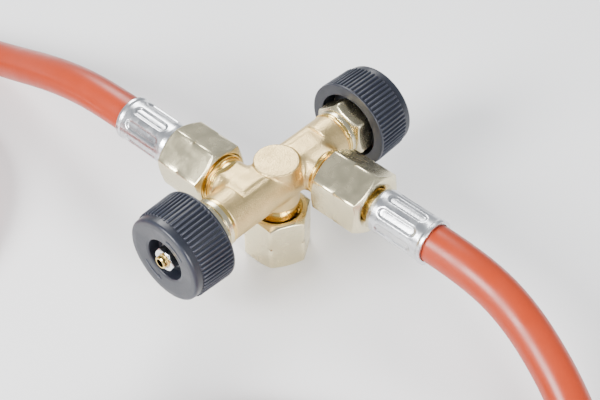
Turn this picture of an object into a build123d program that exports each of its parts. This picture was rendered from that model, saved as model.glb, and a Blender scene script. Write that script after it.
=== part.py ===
from build123d import *
import math
import os

# Two-way gas distributor: a forged brass body on an inlet union nut, a shut-off valve with a
# handwheel at each end of its barrel, and a rubber hose on each of its two staggered outlets.
# Millimetres. The origin is on the floor under the inlet axis, +Z is up, and the barrel with
# both valves lies along X. The left valve and hose are at -X and +Y, the right ones are the
# same pieces turned half a turn about Z.

os.makedirs("parts", exist_ok=True)

# ---------------------------------------------------------------- clearances
FIT = 0.05                    # radial, screwed or pushed together
RUN_FIT = 0.1                 # radial or axial, one piece turns in the other
HOSE_FIT = 0.1
CONE_FIT = 0.1
NECK_PLAY = 0.4               # radial, nipple through its union nut
CHAMBER_PLAY = 0.3            # radial, closing piece in the valve chamber

# ---------------------------------------------------------------- body
BARREL_RADIUS = 7.6
BARREL_HALF_LENGTH = 25.5
OUTLET_OFFSET = 11.6          # outlet axis from the middle, along the barrel
NECK_RADIUS = 7.4             # forged neck of an outlet
NECK_LENGTH = 1.4             # forged neck of an outlet beyond the barrel
OUTLET_LENGTH = 12.0          # machined end of an outlet, with its thread
THREAD_RADIUS = 8.2           # crest of the outlet's left-hand pipe thread
THREAD_RELIEF = 1.2           # width of the turned relief behind the thread
RELIEF_DEPTH = 0.8
PAD_RADIUS = 7.0              # round boss through the middle, with a flat top
PAD_DROP = 0.4                # pad's top below the top of the barrel
BOSS_DROP = 0.7               # boss below the underside of the barrel
FLAT_DROP = 1.0               # forged flat over the outlets below the top of the barrel
FLAT_HALF_LENGTH = 17.5
PLATFORM_HALF_WIDTH = 6.6     # forged platform over an outlet's neck
OUTLET_BORE_RADIUS = 3.0
SEAT_WALL = 2.0               # round the cone seat in an outlet's mouth
SEAT_CONE_DEPTH = 5.0
INLET_BORE_RADIUS = 2.8
INLET_THREAD_RADIUS = 5.0
INLET_THREAD_DEPTH = 5.0
VALVE_SEAT = 8.0              # seat face from the middle, along the barrel
VALVE_HOLE_RADIUS = 2.0
PLUG_HEAD_RADIUS = 4.3        # of the closing piece in the chamber
END_RING_WIDTH = 1.0          # turned ring at each end of the barrel
END_RING_HEIGHT = 0.3

# ---------------------------------------------------------------- valves
VALVE_LIFT = 2.0              # travel of the closing disc, two turns of a 1 mm thread
BONNET_THREAD_RADIUS = 5.5
BONNET_SHANK_LENGTH = 10.0
COLLAR_WIDTH = 1.5
COLLAR_STEP = 0.4             # collar over the barrel, and the groove behind it
BONNET_FLATS = 17.0
BONNET_HEX_LENGTH = 6.4
BONNET_TOP_RADIUS = 4.6
BONNET_TOP_LENGTH = 1.2
SPINDLE_THREAD_RADIUS = 4.0   # lower spindle in the bonnet
SPINDLE_RADIUS = 2.85         # upper spindle in the bonnet's neck
SPINDLE_COLLAR_WIDTH = 1.7
SHOULDER_PLACE = 0.6          # stop for the upper spindle's collar, beyond the barrel's end
SQUARE_SIDE = 4.0
TANG_THICKNESS = 1.8
TANG_WIDTH = 5.6
TANG_LENGTH = 7.1
LIFT_SPARE = 0.9              # room left at the end of the lift
DISC_RADIUS = 3.4
DISC_THICKNESS = 2.0
DISC_PROUD = 1.0
GASKET_THICKNESS = 0.9
GASKET_RADIUS = 6.9
O_RING_SECTION = 0.42         # radius of the ring's section
O_RING_DEPTH = 4.5            # below the top of the bonnet
STUD_RADIUS = 2.0
STUD_SPARE = 1.5              # stud beyond its nut
WASHER_RADIUS = 4.6
WASHER_THICKNESS = 0.8
STUD_NUT_FLATS = 7.0
STUD_NUT_THICKNESS = 3.2

# ---------------------------------------------------------------- handwheels
WHEEL_GAP = 6.3               # from the barrel's end to the handwheel's back face
WHEEL_LENGTH = 14.5
WHEEL_BACK_RADIUS = 14.6
WHEEL_DRAFT = 2.0             # degrees
WHEEL_CAP_LENGTH = 2.7        # smooth cap in front of the ribs
WHEEL_CAP_STEP = 0.5
WHEEL_CAP_ROUND = 1.0
WHEEL_WALL = 3.8              # round the hollow, at the back
WHEEL_HOLLOW_DEPTH = 5.7
HUB_RADIUS = 5.4
HUB_GAP = 0.5                 # running gap over the bonnet
HUB_LENGTH = 6.5
RECESS_RADIUS = 6.7
RIB_COUNT = 60
RIB_GROOVE_DEPTH = 0.55
RIB_GROOVE_WIDTH = 0.7

# ---------------------------------------------------------------- union nuts and nipples
NUT_FLATS = 19.0
NUT_LENGTH = 18.0
NUT_GAP = 1.03                # from the inlet nut's top up to the hose nuts' lowest corners
THREAD_SHOWN = 2.6            # thread left bare between an outlet's neck and its nut
NUT_THREAD_LENGTH = 7.0
NUT_RELIEF_DEPTH = 0.3        # behind the thread
NUT_SHOULDER = 14.0           # inner shoulder from the mouth
NUT_FACE_INSET = 0.5          # circle left on each end face, inside the flats
NUT_CHAMFER_ANGLE = 30.0
NUT_NOTCH_DEPTH = 0.5         # cut round the corners, the sign of a left-hand thread
HOSE_NECK_RADIUS = 5.4
HOSE_NUT_SINK = 1.4           # countersink round the nipple's hole
INLET_NECK_RADIUS = 6.4
INLET_NUT_SINK = 1.1
FLANGE_DROP = 0.9             # flange inside the nut's thread
FLANGE_WIDTH = 2.9
NOSE_LAND = 1.4               # straight part between cone and flange
NIPPLE_BORE_RADIUS = 2.0
NOSE_TIP_RADIUS = 3.4         # of the inlet nipple
BARB_RADIUS = 3.0
BARB_CORE_RADIUS = 2.7
BARB_COUNT = 4

# ---------------------------------------------------------------- ferrules and hoses
FERRULE_GAP = 1.4             # between a nut and the ferrule behind it
FERRULE_LENGTH = 20.5
FERRULE_WALL = 0.9
FERRULE_LIP_HEIGHT = 0.3
FERRULE_LIP_WIDTH = 1.2
FERRULE_FLOOR = 1.4           # wall at the nipple's end
PRESS_COUNT = 8
PRESS_WIDTH = 3.6
PRESS_LENGTH = 14.0
PRESS_DEPTH = 0.45
PRESS_START = 3.0             # from the ferrule's front
HOSE_RADIUS = 6.0
COIL_RADIUS = 59.0            # centre line of the turn on the floor
TOP_RADIUS = 53.7             # of the part turn that lies on it
TOP_CENTRE = (1.7, 5.0)       # its centre from the coil's: towards +X, and back along the hose
TOP_ARC = 95.0                # degrees of it before the tail
TIE_WIDTH = 16.0
TIE_THICKNESS = 1.2

# ---------------------------------------------------------------- places
FERRULE_START = NUT_LENGTH + FERRULE_GAP                  # from the mouth of the nut
AXIS_HEIGHT = NUT_LENGTH + NUT_GAP + NUT_FLATS / math.sqrt(3)    # valve axis above the floor
NUT_MOUTH = BARREL_RADIUS + NECK_LENGTH + THREAD_SHOWN    # of a hose nut, from the barrel's axis
HOSE_EXIT = NUT_MOUTH + FERRULE_START + FERRULE_LENGTH
# The end nuts turn clear of the coil that they lie on.
END_AXIS_HEIGHT = 2 * HOSE_RADIUS + NUT_FLATS / math.sqrt(3) + RUN_FIT

# How the hexagons happen to be turned: the angle of one corner.
LEFT_NUT_TURN = 101.0
RIGHT_NUT_TURN = 89.0
INLET_NUT_TURN = -147.5
BONNET_TURN = 20.0

# Centre lines of the two hoses from the ferrule to the coil.
LEFT_RUN = [
    (-OUTLET_OFFSET, HOSE_EXIT, AXIS_HEIGHT), (-OUTLET_OFFSET, 65.5, AXIS_HEIGHT),
    (-11, 83, 26.4), (-10, 101, 19.8), (-9.5, 118, 13), (-10.2, 133, 8.6), (-15.3, 149.3, 6.5),
    (-26.3, 163.7, HOSE_RADIUS), (-41, 174, HOSE_RADIUS), (-60, 178.6, HOSE_RADIUS),
    (-80.5, 179, HOSE_RADIUS), (-101, 179, HOSE_RADIUS),
]
RIGHT_RUN = [
    (OUTLET_OFFSET, -HOSE_EXIT, AXIS_HEIGHT), (OUTLET_OFFSET, -66, AXIS_HEIGHT),
    (10.3, -82.5, 26.4), (5.7, -100, 19), (-1.8, -115.5, 12.4), (-13, -128.8, 8),
    (-28, -137.8, 6.2), (-45, -141.2, HOSE_RADIUS), (-64.5, -141.7, HOSE_RADIUS),
    (-84.3, -141.3, HOSE_RADIUS), (-103.4, -141.3, HOSE_RADIUS),
]
# From the coil's top to its end fitting: from the coil's centre towards -X, back along the
# hose, and height.
TAIL = [
    (41.3, 38.0, 19.2), (48.3, 25.7, 21.5), (52.0, 12.1, END_AXIS_HEIGHT),
    (52.0, -2.0, END_AXIS_HEIGHT),
]


def save(part, name):
    """Labels a finished piece and writes it."""
    part.label = name
    export_step(part, f"parts/{name}.step")


def turned_face(*outline):
    """A closed outline of (radius, distance along the axis) beside the local Z axis."""
    with BuildSketch(Plane.XZ) as face:
        with BuildLine():
            Polyline(*outline, close=True)
        make_face()
    return face.sketch


# ================================================================ planes
# A fitting is drawn along its own Z axis and placed by one of these planes.
def valve_plane(side):
    return Plane(origin=(0, 0, AXIS_HEIGHT), x_dir=(0, -side, 0), z_dir=(side, 0, 0))


def hose_plane(side, turn):
    """Origin at the mouth of the hose nut, Z towards the hose."""
    corner = (math.cos(math.radians(turn)), 0, math.sin(math.radians(turn)))
    origin = (side * OUTLET_OFFSET, -side * NUT_MOUTH, AXIS_HEIGHT)
    return Plane(origin=origin, x_dir=corner, z_dir=(0, -side, 0))


# ================================================================ distributor body
outlet_axes = [(OUTLET_OFFSET, -1), (-OUTLET_OFFSET, 1)]
neck_end = BARREL_RADIUS + NECK_LENGTH
outlet_end = neck_end + OUTLET_LENGTH
seat_cone_start = outlet_end - SEAT_CONE_DEPTH
seat_mouth_radius = THREAD_RADIUS - SEAT_WALL
flat_top = BARREL_RADIUS - FLAT_DROP
pad_top = BARREL_RADIUS - PAD_DROP
boss_bottom = BARREL_RADIUS + BOSS_DROP
bonnet_start = BARREL_HALF_LENGTH - BONNET_SHANK_LENGTH
gasket_recess = GASKET_THICKNESS + RUN_FIT

with BuildPart() as distributor_body:
    with BuildSketch(Plane.YZ.offset(-BARREL_HALF_LENGTH)):
        with Locations((0, AXIS_HEIGHT)):
            Circle(BARREL_RADIUS)
    extrude(amount=2 * BARREL_HALF_LENGTH)
    # Forged flat along the top, over both outlets.
    with Locations((0, 0, AXIS_HEIGHT + flat_top)):
        Box(2 * FLAT_HALF_LENGTH, 2 * BARREL_RADIUS, BARREL_RADIUS, mode=Mode.SUBTRACT,
            align=(Align.CENTER, Align.CENTER, Align.MIN))
    # Round boss: flat pad on top, inlet underneath.
    with BuildSketch(Plane.XY.offset(AXIS_HEIGHT - boss_bottom)):
        Circle(PAD_RADIUS)
    extrude(amount=boss_bottom + pad_top)
    # Necks, platforms and threads of the outlets.
    for x, way in outlet_axes:
        with BuildSketch(Plane.XZ):
            with Locations((x, AXIS_HEIGHT)):
                Circle(NECK_RADIUS)
        extrude(amount=-way * neck_end)
    for x, way in outlet_axes:
        # The flat over the neck stops where the machined outlet starts.
        with Locations((x, way * neck_end / 2, AXIS_HEIGHT + flat_top)):
            Box(2 * PLATFORM_HALF_WIDTH, neck_end, BARREL_RADIUS, mode=Mode.SUBTRACT,
                align=(Align.CENTER, Align.CENTER, Align.MIN))
        with BuildSketch(Plane.XZ.offset(-way * neck_end)):
            with Locations((x, AXIS_HEIGHT)):
                Circle(THREAD_RADIUS)
        extrude(amount=-way * (outlet_end - neck_end))
        with BuildSketch(Plane.XZ.offset(-way * (neck_end + THREAD_RELIEF))):
            with Locations((x, AXIS_HEIGHT)):
                Circle(THREAD_RADIUS + 1)
                Circle(THREAD_RADIUS - RELIEF_DEPTH, mode=Mode.SUBTRACT)
        extrude(amount=-way * THREAD_RELIEF / 2, mode=Mode.SUBTRACT)
    # Turned rings at the ends of the barrel.
    for way in (1, -1):
        with BuildSketch(Plane.YZ.offset(way * (BARREL_HALF_LENGTH - END_RING_WIDTH))):
            with Locations((0, AXIS_HEIGHT)):
                Circle(BARREL_RADIUS + END_RING_HEIGHT)
        extrude(amount=way * END_RING_WIDTH)
    # Passages: inlet, valve holes, chambers, bonnet threads and outlets.
    with BuildSketch(Plane.XY.offset(AXIS_HEIGHT - boss_bottom)):
        Circle(INLET_BORE_RADIUS)
    extrude(amount=boss_bottom + VALVE_HOLE_RADIUS, mode=Mode.SUBTRACT)
    with BuildSketch(Plane.XY.offset(AXIS_HEIGHT - boss_bottom)):
        Circle(INLET_THREAD_RADIUS)
    extrude(amount=INLET_THREAD_DEPTH, mode=Mode.SUBTRACT)
    with BuildSketch(Plane.YZ.offset(-VALVE_SEAT)):
        with Locations((0, AXIS_HEIGHT)):
            Circle(VALVE_HOLE_RADIUS)
    extrude(amount=2 * VALVE_SEAT, mode=Mode.SUBTRACT)
    for way in (1, -1):
        for start, radius in (
            (VALVE_SEAT, PLUG_HEAD_RADIUS + CHAMBER_PLAY),
            (bonnet_start, BONNET_THREAD_RADIUS),
            (BARREL_HALF_LENGTH - gasket_recess, GASKET_RADIUS + RUN_FIT),
        ):
            with BuildSketch(Plane.YZ.offset(way * start)):
                with Locations((0, AXIS_HEIGHT)):
                    Circle(radius)
            extrude(amount=way * (BARREL_HALF_LENGTH - start), mode=Mode.SUBTRACT)
    for x, way in outlet_axes:
        with BuildSketch(Plane.XZ):
            with Locations((x, AXIS_HEIGHT)):
                Circle(OUTLET_BORE_RADIUS)
        extrude(amount=-way * outlet_end, mode=Mode.SUBTRACT)
        with BuildSketch(Plane.XZ.offset(-way * seat_cone_start)):
            with Locations((x, AXIS_HEIGHT)):
                Circle(OUTLET_BORE_RADIUS)
        with BuildSketch(Plane.XZ.offset(-way * outlet_end)):
            with Locations((x, AXIS_HEIGHT)):
                Circle(seat_mouth_radius)
        loft(mode=Mode.SUBTRACT)

save(distributor_body.part, "distributor_body")

# ================================================================ bonnet
collar_radius = BARREL_RADIUS + COLLAR_STEP
collar_end = BARREL_HALF_LENGTH + COLLAR_WIDTH
hex_start = collar_end + COLLAR_STEP
hex_end = hex_start + BONNET_HEX_LENGTH
bonnet_end = hex_end + BONNET_TOP_LENGTH
shank_radius = BONNET_THREAD_RADIUS - FIT
neck_bore = SPINDLE_RADIUS + FIT
spindle_shoulder = BARREL_HALF_LENGTH + SHOULDER_PLACE
hex_corner = BONNET_FLATS / 2 / math.cos(math.radians(30))
hex_bevel = (hex_corner - collar_radius) * math.tan(math.radians(NUT_CHAMFER_ANGLE))

with BuildPart() as bonnet:
    with BuildSketch(Plane.XY.offset(hex_start)):
        RegularPolygon(BONNET_FLATS / 2, 6, major_radius=False, rotation=BONNET_TURN)
    extrude(amount=BONNET_HEX_LENGTH)
    revolve(
        turned_face(
            (0, hex_start), (collar_radius, hex_start), (hex_corner, hex_start + hex_bevel),
            (hex_corner, hex_end - hex_bevel), (collar_radius, hex_end), (0, hex_end),
        ),
        axis=Axis.Z, mode=Mode.INTERSECT,
    )
    revolve(
        turned_face(
            (0, bonnet_start), (shank_radius, bonnet_start),
            (shank_radius, BARREL_HALF_LENGTH), (collar_radius, BARREL_HALF_LENGTH),
            (collar_radius, collar_end), (collar_radius - COLLAR_STEP, collar_end),
            (collar_radius - COLLAR_STEP, hex_start), (BONNET_TOP_RADIUS, hex_start),
            (BONNET_TOP_RADIUS, bonnet_end), (0, bonnet_end),
        ),
        axis=Axis.Z,
    )
    revolve(
        turned_face(
            (0, bonnet_start), (SPINDLE_THREAD_RADIUS, bonnet_start),
            (SPINDLE_THREAD_RADIUS, spindle_shoulder), (neck_bore, spindle_shoulder),
            (neck_bore, bonnet_end), (0, bonnet_end),
        ),
        axis=Axis.Z, mode=Mode.SUBTRACT,
    )

with BuildPart() as bonnet_gasket:
    with BuildSketch(Plane.XY.offset(BARREL_HALF_LENGTH - GASKET_THICKNESS)):
        Circle(GASKET_RADIUS)
        Circle(BONNET_THREAD_RADIUS, mode=Mode.SUBTRACT)
    extrude(amount=GASKET_THICKNESS)

# ================================================================ spindles and closing disc
collar_start = spindle_shoulder - RUN_FIT - SPINDLE_COLLAR_WIDTH
tang_end = collar_start - TANG_LENGTH
o_ring_place = bonnet_end - O_RING_DEPTH
groove_half = 1.2 * O_RING_SECTION
hub_back = bonnet_end + HUB_GAP
hub_front = hub_back + HUB_LENGTH
square_end = hub_front - WASHER_THICKNESS / 4
stud_nut_start = hub_front + WASHER_THICKNESS
stud_nut_end = stud_nut_start + STUD_NUT_THICKNESS
stud_end = stud_nut_end + STUD_SPARE
spindle_run = SPINDLE_THREAD_RADIUS - RUN_FIT

with BuildPart() as upper_spindle:
    with BuildSketch(Plane.XY.offset(tang_end)):
        Rectangle(TANG_WIDTH, TANG_THICKNESS)
    extrude(amount=collar_start - tang_end)
    revolve(
        turned_face(
            (0, collar_start), (spindle_run, collar_start),
            (spindle_run, collar_start + SPINDLE_COLLAR_WIDTH),
            (SPINDLE_RADIUS, collar_start + SPINDLE_COLLAR_WIDTH),
            (SPINDLE_RADIUS, o_ring_place - groove_half),
            (SPINDLE_RADIUS - 2 * O_RING_SECTION, o_ring_place - groove_half),
            (SPINDLE_RADIUS - 2 * O_RING_SECTION, o_ring_place + groove_half),
            (SPINDLE_RADIUS, o_ring_place + groove_half),
            (SPINDLE_RADIUS, hub_back), (0, hub_back),
        ),
        axis=Axis.Z,
    )
    with BuildSketch(Plane.XY.offset(hub_back)):
        Rectangle(SQUARE_SIDE, SQUARE_SIDE)
    extrude(amount=square_end - hub_back)
    with BuildSketch(Plane.XY.offset(square_end)):
        Circle(STUD_RADIUS)
    extrude(amount=stud_end - square_end)
    chamfer(upper_spindle.faces().sort_by(Axis.Z)[-1].edges(), length=0.3)

with BuildPart() as spindle_o_ring:
    with BuildSketch(Plane.XZ):
        with Locations((SPINDLE_RADIUS - O_RING_SECTION, o_ring_place)):
            Circle(O_RING_SECTION)
    revolve(axis=Axis.Z)

slot_bottom = tang_end - VALVE_LIFT - 2 * RUN_FIT
lower_spindle_end = collar_start - VALVE_LIFT - LIFT_SPARE
plug_head_end = bonnet_start - VALVE_LIFT - LIFT_SPARE
disc_end = VALVE_SEAT + FIT + DISC_THICKNESS
head_start = VALVE_SEAT + FIT + DISC_PROUD

with BuildPart() as lower_spindle:
    revolve(
        turned_face(
            (0, disc_end), (DISC_RADIUS + FIT, disc_end), (DISC_RADIUS + FIT, head_start),
            (PLUG_HEAD_RADIUS, head_start), (PLUG_HEAD_RADIUS, plug_head_end),
            (spindle_run, plug_head_end), (spindle_run, lower_spindle_end),
            (0, lower_spindle_end),
        ),
        axis=Axis.Z,
    )
    with BuildSketch(Plane.XY.offset(slot_bottom)):
        Rectangle(3 * SPINDLE_THREAD_RADIUS, TANG_THICKNESS + 2 * RUN_FIT)
    extrude(amount=lower_spindle_end - slot_bottom, mode=Mode.SUBTRACT)

with BuildPart() as seat_disc:
    with BuildSketch(Plane.XY.offset(VALVE_SEAT + FIT)):
        Circle(DISC_RADIUS)
    extrude(amount=DISC_THICKNESS)

# ================================================================ handwheel
wheel_back = BARREL_HALF_LENGTH + WHEEL_GAP
hollow_radius = WHEEL_BACK_RADIUS - WHEEL_WALL
wheel_front = wheel_back + WHEEL_LENGTH
cap_start = wheel_front - WHEEL_CAP_LENGTH
hollow_end = wheel_back + WHEEL_HOLLOW_DEPTH
draft = math.tan(math.radians(WHEEL_DRAFT))
cap_radius = WHEEL_BACK_RADIUS - draft * (cap_start - wheel_back)
groove_length = cap_start - wheel_back

with BuildPart() as handwheel:
    revolve(
        turned_face(
            (0, wheel_back), (WHEEL_BACK_RADIUS, wheel_back), (cap_radius, cap_start),
            (cap_radius - WHEEL_CAP_STEP, cap_start),
            (cap_radius - WHEEL_CAP_STEP, wheel_front), (0, wheel_front),
        ),
        axis=Axis.Z,
    )
    fillet(handwheel.faces().sort_by(Axis.Z)[-1].edges(), radius=WHEEL_CAP_ROUND)
    # Grip grooves that follow the draft, from the back face to the cap.
    with PolarLocations(0, RIB_COUNT):
        with Locations(
            Location(
                ((WHEEL_BACK_RADIUS + cap_radius) / 2, 0, (wheel_back + cap_start) / 2),
                (0, -WHEEL_DRAFT, 0),
            )
        ):
            Box(2 * RIB_GROOVE_DEPTH, RIB_GROOVE_WIDTH, groove_length - 1, mode=Mode.SUBTRACT)
    # Hollow back round the hub, recess for the stud nut, and the square hole.
    with BuildSketch(Plane.XY.offset(wheel_back)):
        Circle(hollow_radius)
    extrude(amount=hub_back - wheel_back, mode=Mode.SUBTRACT)
    with BuildSketch(Plane.XY.offset(hub_back)):
        Circle(hollow_radius)
        Circle(HUB_RADIUS, mode=Mode.SUBTRACT)
    extrude(amount=hollow_end - hub_back, mode=Mode.SUBTRACT)
    with BuildSketch(Plane.XY.offset(hub_front)):
        Circle(RECESS_RADIUS)
    extrude(amount=wheel_front - hub_front, mode=Mode.SUBTRACT)
    with BuildSketch(Plane.XY.offset(hub_back)):
        Rectangle(SQUARE_SIDE + 2 * FIT, SQUARE_SIDE + 2 * FIT)
    extrude(amount=hub_front - hub_back, mode=Mode.SUBTRACT)

with BuildPart() as handwheel_washer:
    with BuildSketch(Plane.XY.offset(hub_front)):
        Circle(WASHER_RADIUS)
        Circle(STUD_RADIUS + RUN_FIT, mode=Mode.SUBTRACT)
    extrude(amount=WASHER_THICKNESS)

stud_nut_corner = STUD_NUT_FLATS / 2 / math.cos(math.radians(30))
stud_nut_bevel = (stud_nut_corner - STUD_NUT_FLATS / 2) * math.tan(math.radians(NUT_CHAMFER_ANGLE))

with BuildPart() as handwheel_nut:
    with BuildSketch(Plane.XY.offset(stud_nut_start)):
        RegularPolygon(STUD_NUT_FLATS / 2, 6, major_radius=False)
        Circle(STUD_RADIUS + FIT, mode=Mode.SUBTRACT)
    extrude(amount=STUD_NUT_THICKNESS)
    revolve(
        turned_face(
            (0, stud_nut_start), (STUD_NUT_FLATS / 2, stud_nut_start),
            (stud_nut_corner, stud_nut_start + stud_nut_bevel),
            (stud_nut_corner, stud_nut_end - stud_nut_bevel),
            (STUD_NUT_FLATS / 2, stud_nut_end), (0, stud_nut_end),
        ),
        axis=Axis.Z, mode=Mode.INTERSECT,
    )

valve_pieces = {
    "bonnet": bonnet, "bonnet_gasket": bonnet_gasket, "upper_spindle": upper_spindle,
    "spindle_o_ring": spindle_o_ring, "lower_spindle": lower_spindle, "seat_disc": seat_disc,
    "handwheel": handwheel, "handwheel_washer": handwheel_washer,
    "handwheel_nut": handwheel_nut,
}
for side_name, side in (("left", -1), ("right", 1)):
    for piece_name, piece in valve_pieces.items():
        save(piece.part.moved(valve_plane(side).location), f"{side_name}_{piece_name}")


# ================================================================ union nuts
nut_thread_radius = THREAD_RADIUS + RUN_FIT
nut_relief_radius = nut_thread_radius + NUT_RELIEF_DEPTH
flange_radius = nut_thread_radius - FLANGE_DROP


def union_nut(hole_radius, sink_radius):
    """Mouth at the origin, hose end at +Z."""
    corner = NUT_FLATS / 2 / math.cos(math.radians(30))
    face_radius = NUT_FLATS / 2 - NUT_FACE_INSET
    bevel = (corner - face_radius) * math.tan(math.radians(NUT_CHAMFER_ANGLE))
    middle = NUT_LENGTH / 2
    sink_start = NUT_LENGTH - (sink_radius - hole_radius)
    mouth_bevel = face_radius - nut_thread_radius
    with BuildPart() as nut:
        with BuildSketch():
            RegularPolygon(NUT_FLATS / 2, 6, major_radius=False)
        extrude(amount=NUT_LENGTH)
        revolve(
            turned_face(
                (0, 0), (face_radius, 0), (corner, bevel),
                (corner, middle - NUT_NOTCH_DEPTH), (corner - NUT_NOTCH_DEPTH, middle),
                (corner, middle + NUT_NOTCH_DEPTH), (corner, NUT_LENGTH - bevel),
                (face_radius, NUT_LENGTH), (0, NUT_LENGTH),
            ),
            axis=Axis.Z, mode=Mode.INTERSECT,
        )
        revolve(
            turned_face(
                (0, 0), (nut_thread_radius + mouth_bevel / 2, 0),
                (nut_thread_radius, mouth_bevel / 2),
                (nut_thread_radius, NUT_THREAD_LENGTH),
                (nut_relief_radius, NUT_THREAD_LENGTH), (nut_relief_radius, NUT_SHOULDER),
                (hole_radius, NUT_SHOULDER), (hole_radius, sink_start),
                (sink_radius, NUT_LENGTH), (0, NUT_LENGTH),
            ),
            axis=Axis.Z, mode=Mode.SUBTRACT,
        )
    return nut.part


hose_nut_hole = HOSE_NECK_RADIUS + NECK_PLAY
inlet_nut_hole = INLET_NECK_RADIUS + NECK_PLAY
hose_nut = union_nut(hose_nut_hole, hose_nut_hole + HOSE_NUT_SINK)
inlet_nut = union_nut(inlet_nut_hole, inlet_nut_hole + INLET_NUT_SINK)

inlet_corner = (math.cos(math.radians(INLET_NUT_TURN)), math.sin(math.radians(INLET_NUT_TURN)), 0)
inlet_plane = Plane(origin=(0, 0, 0), x_dir=inlet_corner, z_dir=(0, 0, 1))
save(inlet_nut.moved(inlet_plane.location), "inlet_union_nut")

# ================================================================ inlet nipple
boss_face = AXIS_HEIGHT - boss_bottom
flange_top = NUT_SHOULDER - RUN_FIT
inlet_nose_radius = flange_radius - NOSE_LAND
nose_tip = NUT_THREAD_LENGTH + RUN_FIT

with BuildPart() as inlet_nipple:
    revolve(
        turned_face(
            (NIPPLE_BORE_RADIUS, nose_tip), (NOSE_TIP_RADIUS, nose_tip),
            (inlet_nose_radius, flange_top - FLANGE_WIDTH - NOSE_LAND),
            (inlet_nose_radius, flange_top - FLANGE_WIDTH),
            (flange_radius, flange_top - FLANGE_WIDTH), (flange_radius, flange_top),
            (INLET_NECK_RADIUS, flange_top), (INLET_NECK_RADIUS, boss_face),
            (INLET_THREAD_RADIUS - FIT, boss_face),
            (INLET_THREAD_RADIUS - FIT, boss_face + INLET_THREAD_DEPTH - RUN_FIT),
            (NIPPLE_BORE_RADIUS, boss_face + INLET_THREAD_DEPTH - RUN_FIT),
        ),
        axis=Axis.Z,
    )

save(inlet_nipple.part, "inlet_nipple")

# ================================================================ hose nipple
# Distances from the mouth of the union nut on the same fitting.
cone_slope = (seat_mouth_radius - OUTLET_BORE_RADIUS) / SEAT_CONE_DEPTH
mouth_place = outlet_end - NUT_MOUTH
flange_end = NUT_SHOULDER - RUN_FIT
flange_start = flange_end - FLANGE_WIDTH
nose_radius = seat_mouth_radius - CONE_FIT
nose_tip_radius = nose_radius - cone_slope * (mouth_place - nose_tip)
ferrule_end = FERRULE_START + FERRULE_LENGTH
hose_start = FERRULE_START + FERRULE_FLOOR + HOSE_FIT
barb_end = ferrule_end - 2 * FERRULE_LIP_WIDTH
barb_pitch = (barb_end - hose_start) / BARB_COUNT

barb_outline = []
for index in range(BARB_COUNT):
    near = hose_start + index * barb_pitch
    barb_outline += [(BARB_CORE_RADIUS, near), (BARB_RADIUS, near)]
    barb_outline += [(BARB_CORE_RADIUS, near + 0.8 * barb_pitch)]

with BuildPart() as hose_nipple:
    revolve(
        turned_face(
            (NIPPLE_BORE_RADIUS, nose_tip), (nose_tip_radius, nose_tip),
            (nose_radius, mouth_place), (nose_radius, flange_start),
            (flange_radius, flange_start), (flange_radius, flange_end),
            (HOSE_NECK_RADIUS, flange_end), (HOSE_NECK_RADIUS, FERRULE_START),
            (BARB_RADIUS, FERRULE_START), (BARB_RADIUS, hose_start - HOSE_FIT / 2),
            (BARB_CORE_RADIUS, hose_start - HOSE_FIT / 2), *barb_outline,
            (BARB_CORE_RADIUS, barb_end), (NIPPLE_BORE_RADIUS, barb_end),
        ),
        axis=Axis.Z,
    )

# ================================================================ ferrule
inner_radius = HOSE_RADIUS + HOSE_FIT
ferrule_radius = inner_radius + FERRULE_WALL
lip_radius = ferrule_radius + FERRULE_LIP_HEIGHT

with BuildPart() as ferrule:
    revolve(
        turned_face(
            (BARB_RADIUS + FIT, FERRULE_START), (ferrule_radius, FERRULE_START),
            (ferrule_radius, ferrule_end - FERRULE_LIP_WIDTH),
            (lip_radius, ferrule_end - FERRULE_LIP_WIDTH),
            (lip_radius, ferrule_end), (inner_radius, ferrule_end),
            (inner_radius, FERRULE_START + FERRULE_FLOOR),
            (BARB_RADIUS + FIT, FERRULE_START + FERRULE_FLOOR),
        ),
        axis=Axis.Z,
    )
    # Long round-ended pressings of the crimping jaws.
    press_middle = FERRULE_START + PRESS_START + PRESS_LENGTH / 2
    for index in range(PRESS_COUNT):
        angle = 360 / PRESS_COUNT * index
        away = (math.cos(math.radians(angle)), math.sin(math.radians(angle)), 0)
        floor = ferrule_radius - PRESS_DEPTH
        middle = (floor * away[0], floor * away[1], press_middle)
        with BuildSketch(Plane(origin=middle, x_dir=(0, 0, 1), z_dir=away)):
            SlotOverall(PRESS_LENGTH, PRESS_WIDTH)
        extrude(amount=2 * PRESS_DEPTH, mode=Mode.SUBTRACT)


# ================================================================ hoses
def arc_radii(points):
    """One radius for each corner: 0.45 of the shorter run over the tangent of half the turn."""
    radii = []
    corners = [Vector(*point) for point in points]
    for before, corner, after in zip(corners, corners[1:], corners[2:]):
        arriving, leaving = corner - before, after - corner
        turn = arriving.get_angle(leaving)
        shorter = min(arriving.length, leaving.length)
        radii.append(0.45 * shorter / math.tan(math.radians(turn / 2)))
    return radii


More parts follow.
